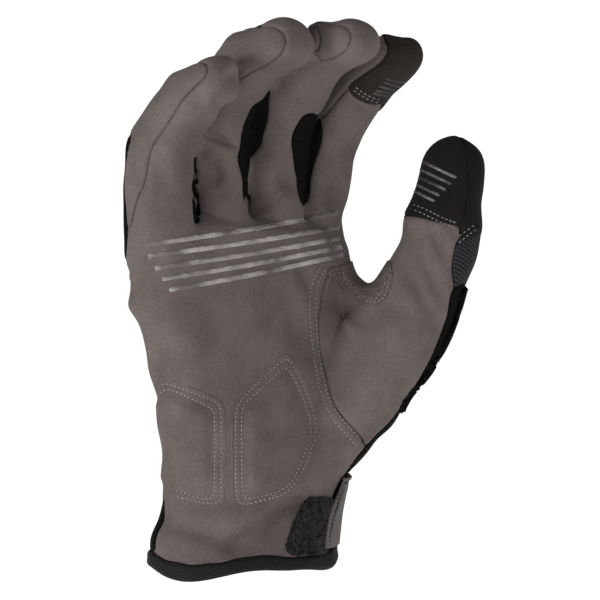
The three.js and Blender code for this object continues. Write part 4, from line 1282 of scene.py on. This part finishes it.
# A printed bar: a strip between two ends, bowed a little towards the heel
def barOutline(breadth, x0, y0, x1, y1):
    start, end = Vector((x0, y0)), Vector((x1, y1))
    across = Vector((y0 - y1, x1 - x0)).normalized() * breadth / 2
    bend = Vector((0, 1)) * printed["bend"] * (end - start).length / printed["bendOver"]
    steps = printed["steps"]
    upper, lower = [], []
    for step in range(steps + 1):
        share = step / steps
        middle = start.lerp(end, share) + bend * math.sin(math.pi * share)
        upper.append(tuple(middle - across))
        lower.append(tuple(middle + across))
    return upper + lower[::-1]


cutPanels()
print("panels cut")
for node, values in layers.items():
    layPiece(node, values, folded)
wristGround = BVHTree.FromBMesh(folded["bm"])
for node, values in wraps.items():
    wrapPiece(node, values, wristGround)
for name, row in bars.items():
    ends = np.array(row["ends"]).reshape(-1, 2)
    low, high = ends.min(axis=0) - printed["margin"], ends.max(axis=0) + printed["margin"]
    pixels = pixelsOf(folded["points"])
    inside = np.all((pixels > low) & (pixels < high), axis=1) & (folded["facing"] > 0)
    ground = sheetOf(partOf(folded["bm"], inside[folded["corners"]].all(axis=1)))
    for count, ends in enumerate(row["ends"], 1):
        layPiece(f"{name}_{count}", {
            "piece": f"{name.split('_')[0]}Bar{count}", "material": row["material"], "plane": "pixels",
            "lift": printed["lift"], "base": row["base"], "edge": printed["edge"], "wall": printed["wall"],
            "outline": barOutline(row["breadth"], *ends), "turned": 0.1}, ground, sharp=True)
print("layers and bars laid")


# What the stitches lie on, as the modifiers leave it
def nearSurface():
    bpy.context.view_layer.update()
    graph = bpy.context.evaluated_depsgraph_get()
    points, faces = [], []
    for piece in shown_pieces():
        if piece.type != "MESH" or piece.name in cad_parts:
            continue
        mesh = piece.evaluated_get(graph).data
        start = len(points)
        points.extend(vert.co.copy() for vert in mesh.vertices)
        faces.extend([start + corner for corner in face.vertices] for face in mesh.polygons)
    return BVHTree.FromPolygons(points, faces)


# Evenly spaced places along a row, in pixels
def placesAlong(row, pitch):
    spans = np.linalg.norm(np.diff(row, axis=0), axis=1)
    before = np.concatenate([[0], np.cumsum(spans)])
    count = max(int(before[-1] / pitch), 2)
    marks = np.linspace(0, before[-1], count + 1)
    return np.stack([np.interp(marks, before, row[:, 0]), np.interp(marks, before, row[:, 1])], axis=1)


thread = {"rings": 5, "sides": 6, "arch": 1.2, "sink": 0.9, "thinnest": 0.55, "swell": 0.45, "skip": 3,
          "sway": 0.00004, "shortest": 0.93, "longest": 1.05}
# A needle hole's rings, as shares of its size: radius and height
needle = {"sides": 8, "rings": ((1.0, -0.3), (0.65, 0.15)), "top": 0.25, "foot": 0.5}


# One thread: a short rod that dips into the cloth at both ends
def addThread(bm, start, end, normal):
    along = end - start
    side = along.cross(normal).normalized()
    rings, sides = thread["rings"], thread["sides"]
    ringsMade = []
    for ring in range(rings):
        share = ring / (rings - 1)
        height = math.sin(math.pi * share)
        lift = stitch["above"] + stitch["radius"] * (thread["arch"] * height - thread["sink"])
        middle = start.lerp(end, share) + normal * lift
        radius = stitch["radius"] * (thread["thinnest"] + thread["swell"] * height)
        ringsMade.append([bm.verts.new(middle + side * radius * math.cos(2 * math.pi * step / sides)
                                       + normal * radius * math.sin(2 * math.pi * step / sides))
                          for step in range(sides)])
    for first, second in zip(ringsMade, ringsMade[1:]):
        for step in range(sides):
            after = (step + 1) % sides
            bm.faces.new((first[step], first[after], second[after], second[step]))
    bm.faces.new(ringsMade[0][::-1])
    bm.faces.new(ringsMade[-1])


# One needle hole: a low dome coloured near-black, painted shade of the hole
def addHoleShade(bm, place, normal):
    side = normal.orthogonal().normalized()
    other = normal.cross(side)
    size, sides = stitch["hole"], needle["sides"]
    turns = [2 * math.pi * step / sides for step in range(sides)]
    rims = []
    for radius, height in needle["rings"]:
        middle, reach = place + normal * height * size, radius * size
        rims.append([bm.verts.new(middle + (side * math.cos(turn) + other * math.sin(turn)) * reach)
                     for turn in turns])
    top = bm.verts.new(place + normal * needle["top"] * size)
    foot = bm.verts.new(place - normal * needle["foot"] * size)
    for step in range(sides):
        after = (step + 1) % sides
        bm.faces.new((rims[0][step], rims[0][after], rims[1][after], rims[1][step]))
        bm.faces.new((rims[1][step], rims[1][after], top))
        bm.faces.new((rims[0][after], rims[0][step], foot))


def sewRows():
    ground = nearSurface()
    threads, holes = bmesh.new(), bmesh.new()
    for name, row in smoothRows.items():
        marks = placesAlong(row, stitch["pitch"] / pixelSize)
        found = [ground.ray_cast(eye, rayThrough(x, y)) for x, y in marks]
        for before, after in zip(found, found[1:]):
            if before[0] is None or after[0] is None:
                continue
            if (after[0] - before[0]).length > thread["skip"] * stitch["pitch"]:
                continue
            middle, along = (before[0] + after[0]) / 2, (after[0] - before[0]).normalized()
            sway = Vector((random.gauss(0, 1), random.gauss(0, 1), random.gauss(0, 1))) * thread["sway"]
            half = along * stitch["length"] / 2 * random.uniform(thread["shortest"], thread["longest"])
            normal = (before[1] + after[1]).normalized()
            addThread(threads, middle - half + sway, middle + half - sway, normal)
            addHoleShade(holes, before[0], before[1])
    bmesh.ops.recalc_face_normals(threads, faces=threads.faces)
    bmesh.ops.recalc_face_normals(holes, faces=holes.faces)
    objectOf("stitches", threads, "thread")
    # The needle holes are near-black domes: painted shade of the holes
    objectOf("stitchHoleShades", holes, "hole")


sewRows()
print("rows sewn")


studio = {"floorDrop": 0.04, "floorSize": 30, "backdrop": 1.05, "ambient": 0.2, "floorGlow": 0.86}
# Lamps: right, up and toward the camera of the glove's middle, size and power
lamps = {
    "keyLamp": {"place": (-1.5, -0.05, 1.0), "size": 0.6, "power": 24},
    "fillLamp": {"place": (0.6, 0.0, 1.6), "size": 0.6, "power": 10},
}


def makeStudio():
    bm = bmesh.new()
    bmesh.ops.create_grid(bm, x_segments=1, y_segments=1, size=studio["floorSize"])
    mesh = bpy.data.meshes.new("floor")
    bm.to_mesh(mesh)
    bm.free()
    pale = bpy.data.materials.new("paleFloor")
    pale.use_nodes = True
    shader = pale.node_tree.nodes["Principled BSDF"]
    shader.inputs["Base Color"].default_value = (0.93, 0.93, 0.93, 1)
    shader.inputs["Roughness"].default_value = 0.9
    shader.inputs["Specular IOR Level"].default_value = 0
    shader.inputs["Emission Color"].default_value = (1, 1, 1, 1)
    shader.inputs["Emission Strength"].default_value = studio["floorGlow"]
    mesh.materials.append(pale)
    floor = bpy.data.objects.new("floor", mesh)
    floor.location.z = -studio["floorDrop"]
    bpy.context.scene.collection.objects.link(floor)
    middle = rightward * photo["aimRight"] + upward * photo["aimUp"]
    for name, values in lamps.items():
        right, up, near = values["place"]
        data = bpy.data.lights.new(name, "AREA")
        data.shape = "DISK"
        data.size = values["size"]
        data.energy = values["power"]
        lamp = bpy.data.objects.new(name, data)
        lamp.location = middle + rightward * right + upward * up + toCamera * near
        lamp.rotation_mode = "QUATERNION"
        lamp.rotation_quaternion = (middle - lamp.location).to_track_quat("-Z", "Y")
        bpy.context.scene.collection.objects.link(lamp)
    world = bpy.data.worlds.new("studio")
    world.use_nodes = True
    tree = world.node_tree
    sky = tree.nodes["Background"]
    seen = addNode(tree, "LightPath").outputs["Is Camera Ray"]
    limits = {"Value": seen, "To Min": studio["ambient"], "To Max": studio["backdrop"]}
    bright = addNode(tree, "MapRange", limits)
    sky.inputs["Color"].default_value = (1, 1, 1, 1)
    tree.links.new(bright.outputs["Result"], sky.inputs["Strength"])
    bpy.context.scene.world = world
    bpy.context.scene.view_settings.view_transform = "Standard"


makeStudio()
print("studio made")
